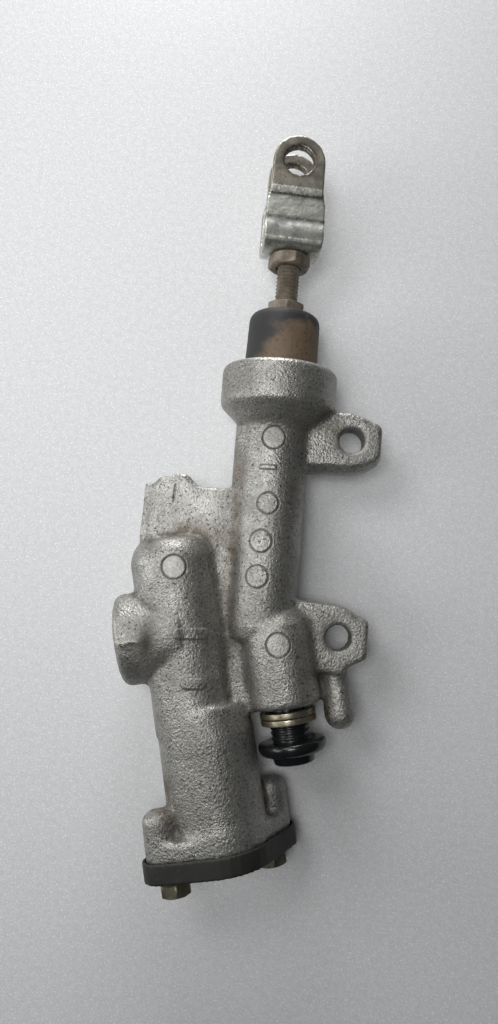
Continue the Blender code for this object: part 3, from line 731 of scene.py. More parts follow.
@dataclass(frozen=True)
class RubberFinish(Finish):
    """Black rubber, with dried mud over the side that faces the lug side and up."""

    shared: SharedEffects
    name: str = "boot_rubber"
    rubber: Colour = (0.014, 0.014, 0.0145)
    mud: Colour = (0.155, 0.106, 0.062)
    muddy: bool = True
    centre: Vector = field(default_factory=Vector)

    def make(self) -> bpy.types.Material:
        """Return the material."""
        material, graph, shader, place = self.start()
        cloud = graph.noise(place, 130.0, 5.0, 0.6)
        fine = graph.noise(place, 1500.0, 3.0, 0.6)
        colour = graph.mix(graph.ramp(cloud, 0.3, 0.7), self.rubber, tuple(value * 1.7 for value in self.rubber))
        if self.muddy:
            local = graph.add("ShaderNodeVectorMath", {0: place, 1: self.centre}, operation="SUBTRACT").outputs[0]
            parts = graph.add("ShaderNodeSeparateXYZ", {0: local})
            side = graph.times(parts.outputs["X"], 95.0)
            side = graph.plus(side, graph.times(parts.outputs["Z"], 75.0))
            side = graph.math("SUBTRACT", side, graph.times(parts.outputs["Y"], 45.0))
            side = graph.plus(side, graph.times(graph.math("SUBTRACT", cloud, 0.5), 2.2))
            crown = graph.ramp(graph.times(parts.outputs["Y"], 100.0), 0.45, 0.95)
            patch = graph.ramp(graph.noise(place, 230.0, 3.0, 0.5), 0.40, 0.60)
            side = graph.math("SUBTRACT", side, graph.times(graph.times(crown, patch), 1.1))
            mask = graph.times(graph.ramp(side, -0.15, 0.75), graph.ramp(fine, 0.2, 0.5))
            colour = graph.mix(graph.times(mask, 0.85), colour, self.mud)
        graph.feed(colour, shader, "Base Color")
        graph.feed(graph.plus(graph.times(cloud, 0.25), 0.52), shader, "Roughness")
        self.bump(graph, shader, fine, 0.5, 0.03)
        return material


@dataclass(frozen=True)
class MouldedFinish(Finish):
    """Moulded or painted dark surface with a soft grain and faint scuffs."""

    shared: SharedEffects
    name: str
    colour: Colour
    scuff: Colour
    rough: float
    grain: float = 0.02
    scuffed: float = 0.4

    def make(self) -> bpy.types.Material:
        """Return the material."""
        material, graph, shader, place = self.start()
        patches = self.group(graph, self.shared.patches, {"Vector": place, "Scale": 140.0})
        share = graph.times(patches.outputs["Spots"], self.scuffed)
        colour = graph.mix(share, self.colour, self.scuff)
        cloud = graph.times(patches.outputs["Cloud"], 0.35 * self.scuffed)
        colour = graph.mix(cloud, colour, self.scuff)
        graph.feed(colour, shader, "Base Color")
        rough = graph.plus(graph.times(patches.outputs["Cloud"], 0.12), self.rough)
        graph.feed(rough, shader, "Roughness")
        self.bump(graph, shader, graph.noise(place, 2600.0, 2.0), 0.4, self.grain)
        return material


@dataclass(frozen=True)
class WindowFinish(Finish):
    """Clear moulded window with a faint haze."""

    shared: SharedEffects
    name: str = "level_window"

    def make(self) -> bpy.types.Material:
        """Return the material."""
        material, graph, shader, place = self.start()
        shader.inputs["Base Color"].default_value = (0.86, 0.9, 0.88, 1.0)
        shader.inputs["Transmission Weight"].default_value = 0.9
        shader.inputs["IOR"].default_value = 1.49
        haze = graph.times(graph.ramp(graph.noise(place, 300.0, 4.0), 0.3, 0.8), 0.25)
        graph.feed(graph.plus(haze, 0.05), shader, "Roughness")
        return material


@dataclass(frozen=True)
class FloorFinish(Finish):
    """Pale sheet with a fine sparkling tooth."""

    shared: SharedEffects
    name: str = "pale_sheet"
    colour: Colour = (0.70, 0.705, 0.715)

    def make(self) -> bpy.types.Material:
        """Return the material."""
        material, graph, shader, place = self.start()
        tooth = graph.noise(place, 1900.0, 3.0, 0.7)
        cloud = graph.noise(place, 640.0, 3.0, 0.6)
        pale = graph.mix(graph.ramp(cloud, 0.35, 0.65), self.colour, tuple(value * 0.93 for value in self.colour))
        pale = graph.mix(graph.ramp(tooth, 0.52, 0.70), pale, (0.93, 0.935, 0.945))
        graph.feed(pale, shader, "Base Color")
        shader.inputs["Roughness"].default_value = 0.5
        self.bump(graph, shader, tooth, 0.8, 0.10)
        return material


class Palette:
    """All the materials of the cylinder."""

    def __init__(self, layout: Layout) -> None:
        """Make each finish once."""
        shared = SharedEffects()
        low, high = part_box("dust_boot")
        boot_centre = (low + high) / 2
        self.cast = CastFinish(shared).make()
        self.clevis = PlatedFinish(
            shared, "clevis_zinc", (0.60, 0.61, 0.565), (0.36, 0.365, 0.325), (0.045, 0.038, 0.028),
            0.30, 230.0, 0.14, 0.85,
        ).make()
        self.tan = PlatedFinish(
            shared, "tan_zinc", (0.25, 0.22, 0.172), (0.15, 0.122, 0.09), (0.06, 0.045, 0.03),
            0.48, 260.0, 0.08, 0.8, 0.4,
        ).make()
        self.olive = PlatedFinish(
            shared, "olive_zinc", (0.34, 0.32, 0.235), (0.13, 0.12, 0.085), (0.035, 0.03, 0.024),
            0.32, 240.0,
        ).make()
        self.washer = PlatedFinish(
            shared, "pale_gold", (0.49, 0.45, 0.345), (0.33, 0.29, 0.205), (0.12, 0.09, 0.055),
            0.26, 300.0, 0.03, 0.4,
        ).make()
        self.steel = PlatedFinish(
            shared, "bright_steel", (0.58, 0.58, 0.57), (0.45, 0.45, 0.43), (0.2, 0.18, 0.15),
            0.24, 200.0, 0.02, 0.2,
        ).make()
        self.anodised = PlatedFinish(
            shared, "hard_anodised", (0.55, 0.50, 0.36), (0.48, 0.44, 0.32), (0.3, 0.26, 0.18),
            0.3, 200.0, 0.01, 0.2,
        ).make()
        self.boot = RubberFinish(shared, centre=boot_centre).make()
        self.seal = RubberFinish(shared, "seal_rubber", muddy=False).make()
        self.cap = MouldedFinish(
            shared, "dark_cap", (0.012, 0.0125, 0.0105), (0.038, 0.038, 0.032), 0.52, 0.03, 0.4
        ).make()
        self.plug = MouldedFinish(
            shared, "gloss_black", (0.009, 0.010, 0.011), (0.03, 0.03, 0.03), 0.16, 0.008, 0.2
        ).make()
        self.window = WindowFinish(shared).make()
        self.floor = FloorFinish(shared).make()


def dress(
    item: bpy.types.Object, material: bpy.types.Material, body: str, slot: str, *nodes: str
) -> bpy.types.Object:
    """Give a piece its finish, hang it on its body and hide the frame nodes it replaces.

    Args:
        item: The piece.
        material: Its finish.
        body: The body it rides on.
        slot: The record's material slot. Not used.
        nodes: The frame nodes it replaces.

    Returns:
        The same piece.
    """
    item.data.materials.clear()
    item.data.materials.append(material)
    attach(item, body)
    if nodes:
        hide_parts(*nodes)
    LOG.info("%s: %d faces on %s", item.name, len(item.data.polygons), body)
    return item


# ---------------------------------------------------------------------------------------------- node-made shapes


class Windings:
    """Geometry node trees for what is wound or repeated along a line."""

    def __init__(self) -> None:
        """Build the two trees once."""
        self.helix = self._helix()
        self.ribs = self._ribs()

    @staticmethod
    def _finish(graph: Graph, end: bpy.types.Node, start: bpy.types.Node, geometry: object) -> None:
        """Realize, give the material and close a tree."""
        real = graph.add("GeometryNodeRealizeInstances", {"Geometry": geometry}).outputs[0]
        inputs = {"Geometry": real, "Material": start.outputs["Material"]}
        made = graph.add("GeometryNodeSetMaterial", inputs).outputs[0]
        graph.feed(made, end, "Geometry")

    def _helix(self) -> bpy.types.NodeTree:
        """A wire wound round local Z: a spring, or the ridge of a thread."""
        inputs = [
            ("Radius", "NodeSocketFloat", 3.5),
            ("Wire", "NodeSocketFloat", 0.5),
            ("Length", "NodeSocketFloat", 15.0),
            ("Turns", "NodeSocketFloat", 7.0),
            ("Steps", "NodeSocketInt", 40),
            ("Sides", "NodeSocketInt", 12),
            ("Material", "NodeSocketMaterial", None),
        ]
        outputs = [("Geometry", "NodeSocketGeometry")]
        tree, graph, start, end = new_group("winding", "GeometryNodeTree", inputs, outputs)
        values = start.outputs
        spiral = graph.add(
            "GeometryNodeCurveSpiral",
            {
                "Resolution": values["Steps"],
                "Rotations": values["Turns"],
                "Start Radius": values["Radius"],
                "End Radius": values["Radius"],
                "Height": values["Length"],
            },
        ).outputs[0]
        upright = graph.add("GeometryNodeSetCurveNormal", {"Curve": spiral})
        choice = upright.inputs.get("Mode")
        if choice is not None:
            choice.default_value = "Z Up"
        else:
            upright.mode = "Z_UP"
        round_section = {"Resolution": values["Sides"], "Radius": values["Wire"]}
        ring = graph.add("GeometryNodeCurvePrimitiveCircle", round_section)
        wire = graph.add(
            "GeometryNodeCurveToMesh",
            {"Curve": upright.outputs[0], "Profile Curve": ring.outputs[0], "Fill Caps": True},
        ).outputs[0]
        self._finish(graph, end, start, wire)
        return tree

    def _ribs(self) -> bpy.types.NodeTree:
        """Equal rings spaced along local Z."""
        inputs = [
            ("Radius", "NodeSocketFloat", 4.7),
            ("Thickness", "NodeSocketFloat", 0.4),
            ("Pitch", "NodeSocketFloat", 1.25),
            ("Count", "NodeSocketInt", 4),
            ("Material", "NodeSocketMaterial", None),
        ]
        outputs = [("Geometry", "NodeSocketGeometry")]
        tree, graph, start, end = new_group("ribs", "GeometryNodeTree", inputs, outputs)
        values = start.outputs
        step = graph.add("ShaderNodeCombineXYZ", {"Z": values["Pitch"]}).outputs[0]
        line = graph.add("GeometryNodeMeshLine", {"Count": values["Count"], "Offset": step}).outputs[0]
        hoop = graph.add("GeometryNodeCurvePrimitiveCircle", {"Resolution": 64, "Radius": values["Radius"]})
        ring = graph.add("GeometryNodeCurvePrimitiveCircle", {"Resolution": 12, "Radius": values["Thickness"]})
        rib = graph.add(
            "GeometryNodeCurveToMesh", {"Curve": hoop.outputs[0], "Profile Curve": ring.outputs[0]}
        ).outputs[0]
        placed = graph.add("GeometryNodeInstanceOnPoints", {"Points": line, "Instance": rib}).outputs[0]
        self._finish(graph, end, start, placed)
        return tree

    @staticmethod
    def mesh(tree: bpy.types.NodeTree, values: dict, material: bpy.types.Material) -> bpy.types.Mesh:
        """Run a tree with its own values.

        Args:
            tree: One of this class's trees.
            values: The tree's inputs by name, in millimetres.
            material: What the mesh is made of.

        Returns:
            The resulting plain mesh, in millimetres about the origin.
        """
        item = bpy.data.objects.new("winding_source", bpy.data.meshes.new("winding_source"))
        bpy.context.scene.collection.objects.link(item)
        modifier = item.modifiers.new("tree", "NODES")
        modifier.node_group = tree
        chosen = {**values, "Material": material}
        for socket in tree.interface.items_tree:
            if socket.in_out == "INPUT" and socket.name in chosen:
                modifier[socket.identifier] = chosen[socket.name]
        return baked(item)


def joined(work: bmesh.types.BMesh, mesh: bpy.types.Mesh, low: float) -> None:
    """Add a node-made mesh to a mesh being built, moved along local Z by millimetres."""
    mesh.transform(Matrix.Translation((0, 0, low)))
    work.from_mesh(mesh)
    bpy.data.meshes.remove(mesh)


# ---------------------------------------------------------------------------------------------- casting


class MarkKind(Enum):
    """What is pressed or raised on the casting's skin."""

    DISC = "flat disc left by an ejector pin"
    RING = "thin ring round a blank disc"
    BAR = "short raised bar"
    PILL = "wide raised bar with round ends"
    LINE = "short pressed line"


@dataclass(frozen=True)
class Mark:
    """A mark on the casting's upper side."""

    kind: MarkKind
    x: float
    y: float
    size: float
    turn: float = 0.0


@dataclass(frozen=True)
class Spot:
    """A soft-edged spot on the casting's upper side: its middle, its reach in X and Y, and its strength."""

    x: float
    y: float
    reach_x: float
    reach_y: float
    share: float


@dataclass
class Casting:
    """The one-piece casting, remeshed so that its corners are filleted, with its marks and lumpy skin."""

    layout: Layout
    palette: Palette
    voxel: float = 0.62
    passes: int = 4
    chamber_offset: float = 2.45
    waist_span: tuple[float, float] = (-17, 7)
    waist_stations: tuple[float, ...] = (-18, -12, 4, 8)
    waist_radii: tuple[float, ...] = (10.75, 10.85, 12.05, 12.05)
    waist_core: float = 8.4
    bore_span: tuple[float, float] = (-24, 36)
    bore_core: float = 4.0
    bore_radius: float = 5.6
    ridge_height: float = 0.62
    ridge_across: float = 0.3
    ridge_half_width: float = 0.75
    skin_level: float = 0.8
    bar_shapes: dict[MarkKind, tuple[float, float]] = field(
        default_factory=lambda: {
            MarkKind.BAR: (0.3, 0.34),
            MarkKind.PILL: (1.05, 0.34),
            MarkKind.LINE: (0.05, -0.15),
        }
    )
    lump: float = 0.02
    lump_size: float = 1.6
    marks: list[Mark] = field(
        default_factory=lambda: [
            Mark(MarkKind.DISC, -0.35, 23.3, 2.75),
            Mark(MarkKind.DISC, -22.1, -10.9, 2.85),
            Mark(MarkKind.DISC, 4.7, -27.6, 2.85),
            Mark(MarkKind.RING, -0.5, 6.7, 2.7),
            Mark(MarkKind.RING, -1.5, -2.8, 2.8),
            Mark(MarkKind.RING, -1.75, -11.6, 2.8),
            Mark(MarkKind.BAR, -1.2, 15.7, 2.1),
            Mark(MarkKind.PILL, -16.6, -26.6, 4.2, 3.0),
            Mark(MarkKind.PILL, -14.8, -38.3, 3.0, 3.0),
            Mark(MarkKind.LINE, -24.3, 8.0, 2.4, 88.0),
        ]
    )
    # Brown patches of dirt; some are painted shade, by the reservoir's right side and between the port boss and the
    # hose stop.
    stains: tuple[Spot, ...] = (
        Spot(-17.0, -1.5, 8.0, 2.6, 0.55),
        Spot(-8.6, 9.0, 1.4, 14.0, 0.5),
        Spot(-8.8, -8.0, 1.6, 12.0, 0.5),
        Spot(8.0, 10.0, 3.0, 5.0, 0.25),
        Spot(15.2, 27.0, 2.2, 2.6, 0.45),
        Spot(12.8, -51.5, 1.6, 3.0, 0.9),
        Spot(-19.6, -66.0, 2.0, 5.0, 0.8),
        Spot(-7.5, -20.0, 2.4, 5.0, 0.45),
        Spot(14.0, -34.0, 3.0, 2.0, 0.5),
        Spot(18.4, -42.6, 1.2, 3.2, 0.85),
    )
    # Dark spots mixed with the dirt colour: painted shade in crevices and holes, and dirt.
    smudges: tuple[Spot, ...] = (
        Spot(-27.0, -29.6, 2.0, 4.8, 1.0),
        Spot(-29.0, -5.0, 1.4, 1.2, 0.9),
        Spot(-31.2, -31.6, 3.0, 0.4, 0.8),
        Spot(17.0, -36.4, 0.8, 4.5, 0.6),
        Spot(18.8, 24.2, 3.2, 3.2, 0.9),
        Spot(18.95, -24.6, 3.2, 3.2, 0.9),
        Spot(-20.4, -63.4, 1.4, 0.6, 0.7),
    )
    # Patches of painted light, mixed towards the bright colour.
    pale_places: tuple[Spot, ...] = (
        Spot(-18.5, 5.5, 7.5, 6.0, 0.9),
        Spot(-0.5, 15.0, 3.0, 14.0, 0.35),
        Spot(-19.0, -14.0, 3.5, 8.0, 0.3),
    )

    def build(self, node: bpy.types.Object) -> bpy.types.Object:
        """Build the casting from the frame's node."""
        mesh = softened(node, "casting_source", self.voxel, self.passes)
        self._true_bore(mesh)
        self._fair_reservoir(mesh)
        self._refine(mesh)
        self._raise_ridge(mesh)
        self._press_marks(mesh)
        self._roughen(mesh)
        add_hollow_attribute(mesh, 14)
        item = show("casting", mesh, 60.0)
        return dress(item, self.palette.cast, "housing", "casting", "cylinder_body")

    def _true_bore(self, mesh: bpy.types.Mesh) -> None:
        """Bring the bore back to its full radius, which the softening takes a little from."""
        local = self.layout.bore.local(positions(mesh))
        reach = np.hypot(local[:, 0], local[:, 1])
        low, high = self.bore_span
        near = (local[:, 2] > low) & (local[:, 2] < high) & (reach > self.bore_core) & (reach < self.bore_radius)
        local[near, :2] *= (self.bore_radius / reach[near])[:, None]
        set_positions(mesh, self.layout.bore.placed(local))

    def _fair_reservoir(self, mesh: bpy.types.Mesh) -> None:
        """Fill the waist between the reservoir's chamber and its bowl on the front and the back."""
        turn = np.array(self.layout.bowl.matrix().inverted())
        local = self.layout.bowl.local(positions(mesh))
        across = local[:, 0] + self.chamber_offset * np.clip((4 - local[:, 2]) / 16, 0, 1)
        reach = np.hypot(across, local[:, 1])
        wanted = np.interp(local[:, 2], self.waist_stations, self.waist_radii)
        steep = np.clip((np.abs(local[:, 1]) / np.maximum(reach, 0.1) - 0.25) / 0.45, 0, 1)
        steep *= np.clip((10.5 - across) / 4.0, 0, 1) * np.clip((reach - self.waist_core) / 1.8, 0, 1)
        out = np.einsum("ij,ij->i", normals(mesh) @ turn[:3, :3].T, local * np.array((1, 1, 0)))
        steep *= np.clip((out / np.maximum(reach, 0.1) - 0.15) / 0.5, 0, 1)
        low, high = self.waist_span
        near = (local[:, 2] > low) & (local[:, 2] < high) & (out > 0) & (reach > self.waist_core) & (reach < wanted)
        scale = np.where(near, 1 + (wanted / np.maximum(reach, 0.1) - 1) * steep, 1.0)
        local[:, 0] += across * (scale - 1)
        local[:, 1] *= scale
        set_positions(mesh, self.layout.bowl.placed(local))

    def _raise_ridge(self, mesh: bpy.types.Mesh) -> None:
        """Raise the level ridge along the front of the sight glass's boss."""
        places = positions(mesh)
        local = self.layout.sight.local(places)
        span = np.clip((local[:, 2] + 6.4) / 0.6, 0, 1) * np.clip((-0.6 - local[:, 2]) / 0.6, 0, 1)
        line = np.clip(1 - np.abs(local[:, 0] - self.ridge_across) / self.ridge_half_width, 0, 1)
        rise = self.ridge_height * line * line * (3 - 2 * line) * span * (local[:, 1] > 8)
        set_positions(mesh, places + np.array((0, 0, MM)) * rise[:, None])

    def _local(self, mesh: bpy.types.Mesh) -> np.ndarray:
        """Return vertex positions in millimetres about the bore."""
        return (positions(mesh) - np.array(self.layout.top.origin)) / MM

    def _refine(self, mesh: bpy.types.Mesh) -> None:
        """Split the faces round each mark, so that its edge is crisp."""
        work = bmesh.new()
        work.from_mesh(mesh)
        origin = self.layout.top.origin
        near = []
        for face in work.faces:
            spot = (face.calc_center_median() - origin) / MM
            if face.normal.z < 0.3 or spot.z < self.skin_level:
                continue
            if any(math.hypot(spot.x - mark.x, spot.y - mark.y) < mark.size + 0.9 for mark in self.marks):
                near.append(face)
        edges = list({edge for face in near for edge in face.edges})
        bmesh.ops.subdivide_edges(work, edges=edges, cuts=2, use_grid_fill=True)
        work.to_mesh(mesh)
        work.free()

    def _press_marks(self, mesh: bpy.types.Mesh) -> None:
        """Press each mark into the skin, note where the skin is smooth, and note where dirt, brown discolouring,
        painted shade and painted light go.
        """
        local = self._local(mesh)
        facing = (normals(mesh)[:, 2] > 0.25) & (local[:, 2] > self.skin_level)
        smooth = np.zeros(len(local), np.float32)
        soil = np.zeros(len(local))
        for mark in self.marks:
            turn = math.radians(mark.turn)
            east = local[:, 0] - mark.x
            north = local[:, 1] - mark.y
            x = east * math.cos(turn) + north * math.sin(turn)
            y = north * math.cos(turn) - east * math.sin(turn)
            away = np.hypot(x, y)
            near = facing & (away < mark.size + 1.2)
            if mark.kind is MarkKind.DISC:
                crown = local[facing & (away < 1.0), 2].max()
                inside = near & (away < mark.size)
                local[inside, 2] = local[inside, 2] * 0.25 + (crown - 0.12) * 0.75
                smooth[inside] = 1.0
                groove = away - mark.size - 0.12
                self._groove(local, near, groove, 0.3, 0.22)
                # Dark line in the disc's groove: painted shade.
                soil = np.maximum(soil, near * np.clip(1.3 - np.abs(groove) / 0.28, 0, 1) * 0.8)
            elif mark.kind is MarkKind.RING:
                groove = away - mark.size
                self._groove(local, near, groove, 0.34, 0.2)
                self._groove(local, near, away - mark.size + 0.55, 0.3, -0.1)
                # Dark line in the ring's groove: painted shade.
                soil = np.maximum(soil, near * np.clip(1.2 - np.abs(groove) / 0.26, 0, 1) * 0.7)
            else:
                width, height = self.bar_shapes[mark.kind]
                past = np.maximum(np.abs(x) - mark.size + width + 0.25, 0)
                edge = np.hypot(past, y)
                rise = 1 - np.clip((edge - width) / 0.45, 0, 1)
                local[near, 2] += (height * rise * rise * (3 - 2 * rise))[near]
                rim = edge if mark.kind is MarkKind.LINE else edge - width - 0.34
                # Dark line round the bar or along the pressed line: painted shade.
                soil = np.maximum(soil, near * np.clip(1.0 - np.abs(rim) / 0.25, 0, 1) * 0.55)
        set_positions(mesh, local * MM + np.array(self.layout.top.origin))
        upper = np.clip((local[:, 2] + 3.0) / 3.0, 0, 1)
        soil = np.maximum(soil, self._spread(local, self.smudges) * upper)
        stain = self._spread(local, self.stains) * upper
        # Strength of the painted light patches.
        pale = self._spread(local, self.pale_places) * upper
        store(mesh, smooth=smooth, soil=soil, stain=stain, pale=pale)

    @staticmethod
    def _spread(local: np.ndarray, spots: tuple[Spot, ...]) -> np.ndarray:
        """Return how strongly the soft-edged spots cover each vertex.

        Args:
            local: Vertex positions in millimetres.
            spots: The spots.

        Returns:
            A share from 0 to 1 for each vertex.
        """
        share = np.zeros(len(local))
        for spot in spots:
            far = ((local[:, 0] - spot.x) / spot.reach_x) ** 2 + ((local[:, 1] - spot.y) / spot.reach_y) ** 2
            share = np.maximum(share, spot.share * np.exp(-far))
        return share

    @staticmethod
    def _groove(local: np.ndarray, near: np.ndarray, away: np.ndarray, width: float, depth: float) -> None:
        """Lower the skin along a line.

        Args:
            local: Vertex positions, changed in place.
            near: Which vertices may move.
            away: Each vertex's distance from the line.
            width: Half the groove's width.
            depth: How deep it is, or how high where negative.
        """
        share = np.clip(1 - np.abs(away) / width, 0, 1)
        local[near, 2] -= (depth * share * share * (3 - 2 * share))[near]

    def _roughen(self, mesh: bpy.types.Mesh) -> None:
        """Raise the skin's lumps along the normals, except where it is smooth."""
        places = positions(mesh)
        out = normals(mesh)
        smooth = np.empty(len(places), np.float32)
        mesh.attributes["smooth"].data.foreach_get("value", smooth)
        scale = 1 / (self.lump_size * MM)
        height = np.array([noise.noise(Vector(place) * scale) for place in places])
        swell = np.array([noise.noise(Vector(place) * scale * 0.16) for place in places])
        offset = (height * self.lump + swell * 0.12) * (1 - smooth) * MM
        set_positions(mesh, places + out * offset[:, None])


# ---------------------------------------------------------------------------------------------- rod and clevis


@dataclass
class RodTrain:
    """The push rod, its lock nut, the clevis and the boot."""

    layout: Layout
    palette: Palette
    windings: Windings
    ball: float = 29.5
    ball_radius: float = 3.2
    shank: float = 2.95
    root: float = 2.5
    thread_low: float = 60.8
    thread_high: float = 79.2
    hex_low: float = 57.7
    hex_high: float = 60.7
    nut_low: float = 70.35
    nut_high: float = 73.9
    bend: float = 79.8
    step: float = 88.9
    eye: float = 98.0
    eye_radius: float = 4.0
    boot_base: float = 36.5
    boot_top: float = 57.5
    boot_segments: int = 96
    segments: int = 72

    def build(self, nodes: dict) -> None:
        """Build the four pieces."""
        self._rod()
        self._nut()
        self._clevis(nodes["clevis"])
        self._boot()

    def _rod(self) -> None:
        """Ball end, stop collar, shank, hexagon and rolled thread."""
        work = bmesh.new()
        turn = [math.radians(step) for step in range(-75, 40, 15)]
        profile = [(0.0, self.ball - self.ball_radius)]
        profile += [(self.ball_radius * math.cos(a), self.ball + self.ball_radius * math.sin(a)) for a in turn]
        collar = [(2.5, 31.4, 0.0), (5.05, 31.45, 0.2), (5.05, 32.75, 0.2), (self.shank, 32.75, 0.1)]
        shaft = [(self.shank, 57.0, 0.0), (self.shank, self.thread_low, 0.2), (self.root, self.thread_low + 0.5, 0.2)]
        end = [(self.root, self.thread_high, 0.2), (self.root - 0.6, self.thread_high + 0.4, 0.0)]
        profile += rounded(collar + shaft + end) + [(0.0, self.thread_high + 0.4)]
        add_rows(work, rows_of(profile), self.segments)
        rows = hexagon_rows(9.2, self.hex_low, self.hex_high, self.segments, 25.0)
        add_rows(work, [Row(0.0, self.hex_low), *rows, Row(0.0, self.hex_high)], self.segments)
        length = self.thread_high - self.thread_low - 0.6
        values = {"Radius": self.root, "Wire": 0.5, "Length": length, "Turns": length, "Steps": 48, "Sides": 4}
        thread = self.windings.mesh(self.windings.helix, values, self.palette.tan)
        joined(work, thread, self.thread_low + 0.5)
        item = piece("rod", work, self.layout.rod)
        dress(item, self.palette.tan, "rod", "zinc_tan", "push_rod")

    def _nut(self) -> None:
        """The lock nut, with both ends chamfered and a countersunk thread."""
        work = bmesh.new()
        bore = self.shank + 0.1
        rows = hexagon_rows(10.0, self.nut_low, self.nut_high, self.segments, 38.0)
        inner = [Row(bore + 0.5, self.nut_high), Row(bore, self.nut_high - 0.5), Row(bore, self.nut_low + 0.5)]
        rows += inner + [Row(bore + 0.5, self.nut_low)]
        add_rows(work, rows, self.segments, closed=True)
        item = piece("rod_lock_nut", work, self.layout.rod, 28.0)
        dress(item, self.palette.tan, "rod", "zinc_tan", "lock_nut")

    def _clevis(self, node: bpy.types.Object) -> None:
        """The bent strip, with its stamped edges softened and its faces a little uneven."""
        mesh = softened(node, "clevis_source", 0.24, 5)
        places = positions(mesh)
        out = normals(mesh)
        lumps = np.array([noise.noise(Vector(place) / (3.2 * MM)) for place in places])
        set_positions(mesh, places + out * (lumps * 0.05 * MM)[:, None])
        add_hollow_attribute(mesh, 30)
        self._wear_clevis(mesh)
        dress(show("fork_clevis", mesh, 60.0), self.palette.clevis, "rod", "zinc", "clevis")

    def _wear_clevis(self, mesh: bpy.types.Mesh) -> None:
        """Note where the strip gets a painted highlight along its bend, brown on its ears and painted shade at its
        step, round its eyes and under its bend.
        """
        local = self.layout.rod.local(positions(mesh))
        along, front = local[:, 2], np.clip(-local[:, 1] / 4.0, 0, 1)
        # Painted highlight along the front of the bend.
        worn = np.exp(-(((along - self.bend) / 1.0) ** 2)) * front
        ear = np.clip((along - self.step - 1.0) / 2.0, 0, 1)
        # Painted shade round the eyes.
        rim = np.exp(-(((np.hypot(local[:, 0], along - self.eye) - self.eye_radius) / 0.9) ** 2)) * ear
        # Painted shade just under the bend.
        edge = np.exp(-(((along - self.bend - 1.9) / 0.55) ** 2)) * front
        soot = np.maximum(np.exp(-(((along - self.step) / 0.8) ** 2)) * 0.8, np.maximum(rim * 0.85, edge * 0.7))
        store(mesh, worn=worn, brown=ear * 0.7, soot=soot)

    def _boot(self) -> None:
        """The rubber boot, from its foot in the cup to its top, and its lip, which rides on the rod."""
        work = bmesh.new()
        low, top = self.boot_base, self.boot_top
        outside = [(9.0, low, 0.0), (10.3, low, 0.3), (10.3, low + 1.7, 0.4), (9.55, low + 2.4, 0.4)]
        outside += [(9.5, low + 8, 1.0), (9.35, top - 6, 1.5), (9.15, top - 0.1, 2.5), (5.0, top, 0.2)]
        inside = [(5.0, top - 1.5, 0.2), (8.0, top - 1.6, 1.8), (8.2, low + 3, 0.5), (9.0, low, 0.0)]
        profile = rounded(outside + inside, 8)[:-1]
        add_rows(work, rows_of(profile), self.boot_segments, closed=True)
        for vertex in work.verts:
            reach = math.hypot(vertex.co.x, vertex.co.y)
            if vertex.co.z > low + 4 and reach > 8.6:
                sway = noise.noise(vertex.co * 0.16) * 0.22 + noise.noise(vertex.co * 0.5) * 0.05
                vertex.co.x += vertex.co.x / reach * sway
                vertex.co.y += vertex.co.y / reach * sway
        item = piece("boot", work, self.layout.bore, 45.0)
        item.data.materials.append(self.palette.boot)
        start = self.layout.bore.point(0, 0, low + 4)
        end = self.layout.bore.point(0, 0, top - 3)
        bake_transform(item)
        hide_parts("dust_boot")
        lip = [(3.0, top + 0.02, 0.0), (6.9, top + 0.02, 0.0), (6.3, top + 0.3, 0.25), (3.0, top + 0.42, 0.0)]
        item_lip = turned_piece("boot_lip", lip, self.boot_segments, self.layout.bore, True, 45.0)
        dress(item_lip, self.palette.boot, "rod", "rubber")
        LOG.info("boot: %d faces between housing and plunger", len(item.data.polygons))


# ---------------------------------------------------------------------------------------------- reservoir


@dataclass
class Reservoir:
    """The cap, its two screws and the level window."""

    layout: Layout
    palette: Palette
    screw_across: float = 11.65
    screw_up: float = 5.6
    cap_bottom: float = 35.2
    segments: int = 72

    def build(self, nodes: dict) -> None:
        """Build the pieces at the reservoir's two openings."""
        self._cap(nodes["reservoir_cap"])
        for name, side in (("left", -1), ("right", 1)):
            self._screw(name, side)
        self._window()

    def _cap(self, node: bpy.types.Object) -> None:
        """The thick cap with its raised rim."""
        mesh = softened(node, "cap_source", 0.3, 3)
        add_hollow_attribute(mesh, 20)
        dress(show("cap", mesh, 60.0), self.palette.cap, "housing", "black_cap", "reservoir_cap")

    def _screw(self, name: str, side: int) -> None:
        """A flanged hexagon screw."""
        base = self.cap_bottom + 0.2
        shank = [(0.0, 21.6, 0.0), (1.5, 21.6, 0.1), (1.95, 22.2, 0.1), (1.95, base, 0.0)]
        flange = [(4.15, base, 0.15), (4.2, base + 0.45, 0.2), (3.5, base + 1.15, 0.2), (0.0, base + 1.2, 0.0)]
        work = bmesh.new()
        add_rows(work, rows_of(rounded(shank + flange)), self.segments)
        top = base + 4.0
        rows = hexagon_rows(7.0, base + 0.7, top, self.segments, 20.0)
        dish = [Row(2.6, top), Row(2.3, top - 0.25), Row(0.0, top - 0.3)]
        add_rows(work, [Row(0.0, base + 0.7), *rows, *dish], self.segments)
        axis = self.layout.bowl.moved(side * self.screw_across, -side * self.screw_up, 0)
        item = piece("cap_screw_" + name + "_head", work, axis)
        dress(item, self.palette.olive, "housing", "zinc_olive", "cap_screw_" + name)

    def _window(self) -> None:
        """The level window: a domed lens, and the ring that holds it."""
        lens = [(0.0, -3.2, 0.0), (8.2, -3.2, 0.2), (8.2, -0.7, 0.3), (7.4, -0.6, 0.4), (7.1, -0.1, 0.4)]
        lens += [(0.0, 0.25, 0.0)]
        item = turned_piece("level_window", lens, self.segments, self.layout.sight)
        dress(item, self.palette.window, "housing", "window", "sight_glass")
        ring = [(7.55, -0.25, 0.0), (8.35, -0.4, 0.0), (8.35, 0.3, 0.15), (7.75, 0.35, 0.15)]
        item = turned_piece("window_ring", ring, self.segments, self.layout.sight, closed=True)
        dress(item, self.palette.steel, "housing", "steel", "sight_glass_ring")


# ---------------------------------------------------------------------------------------------- outlet port


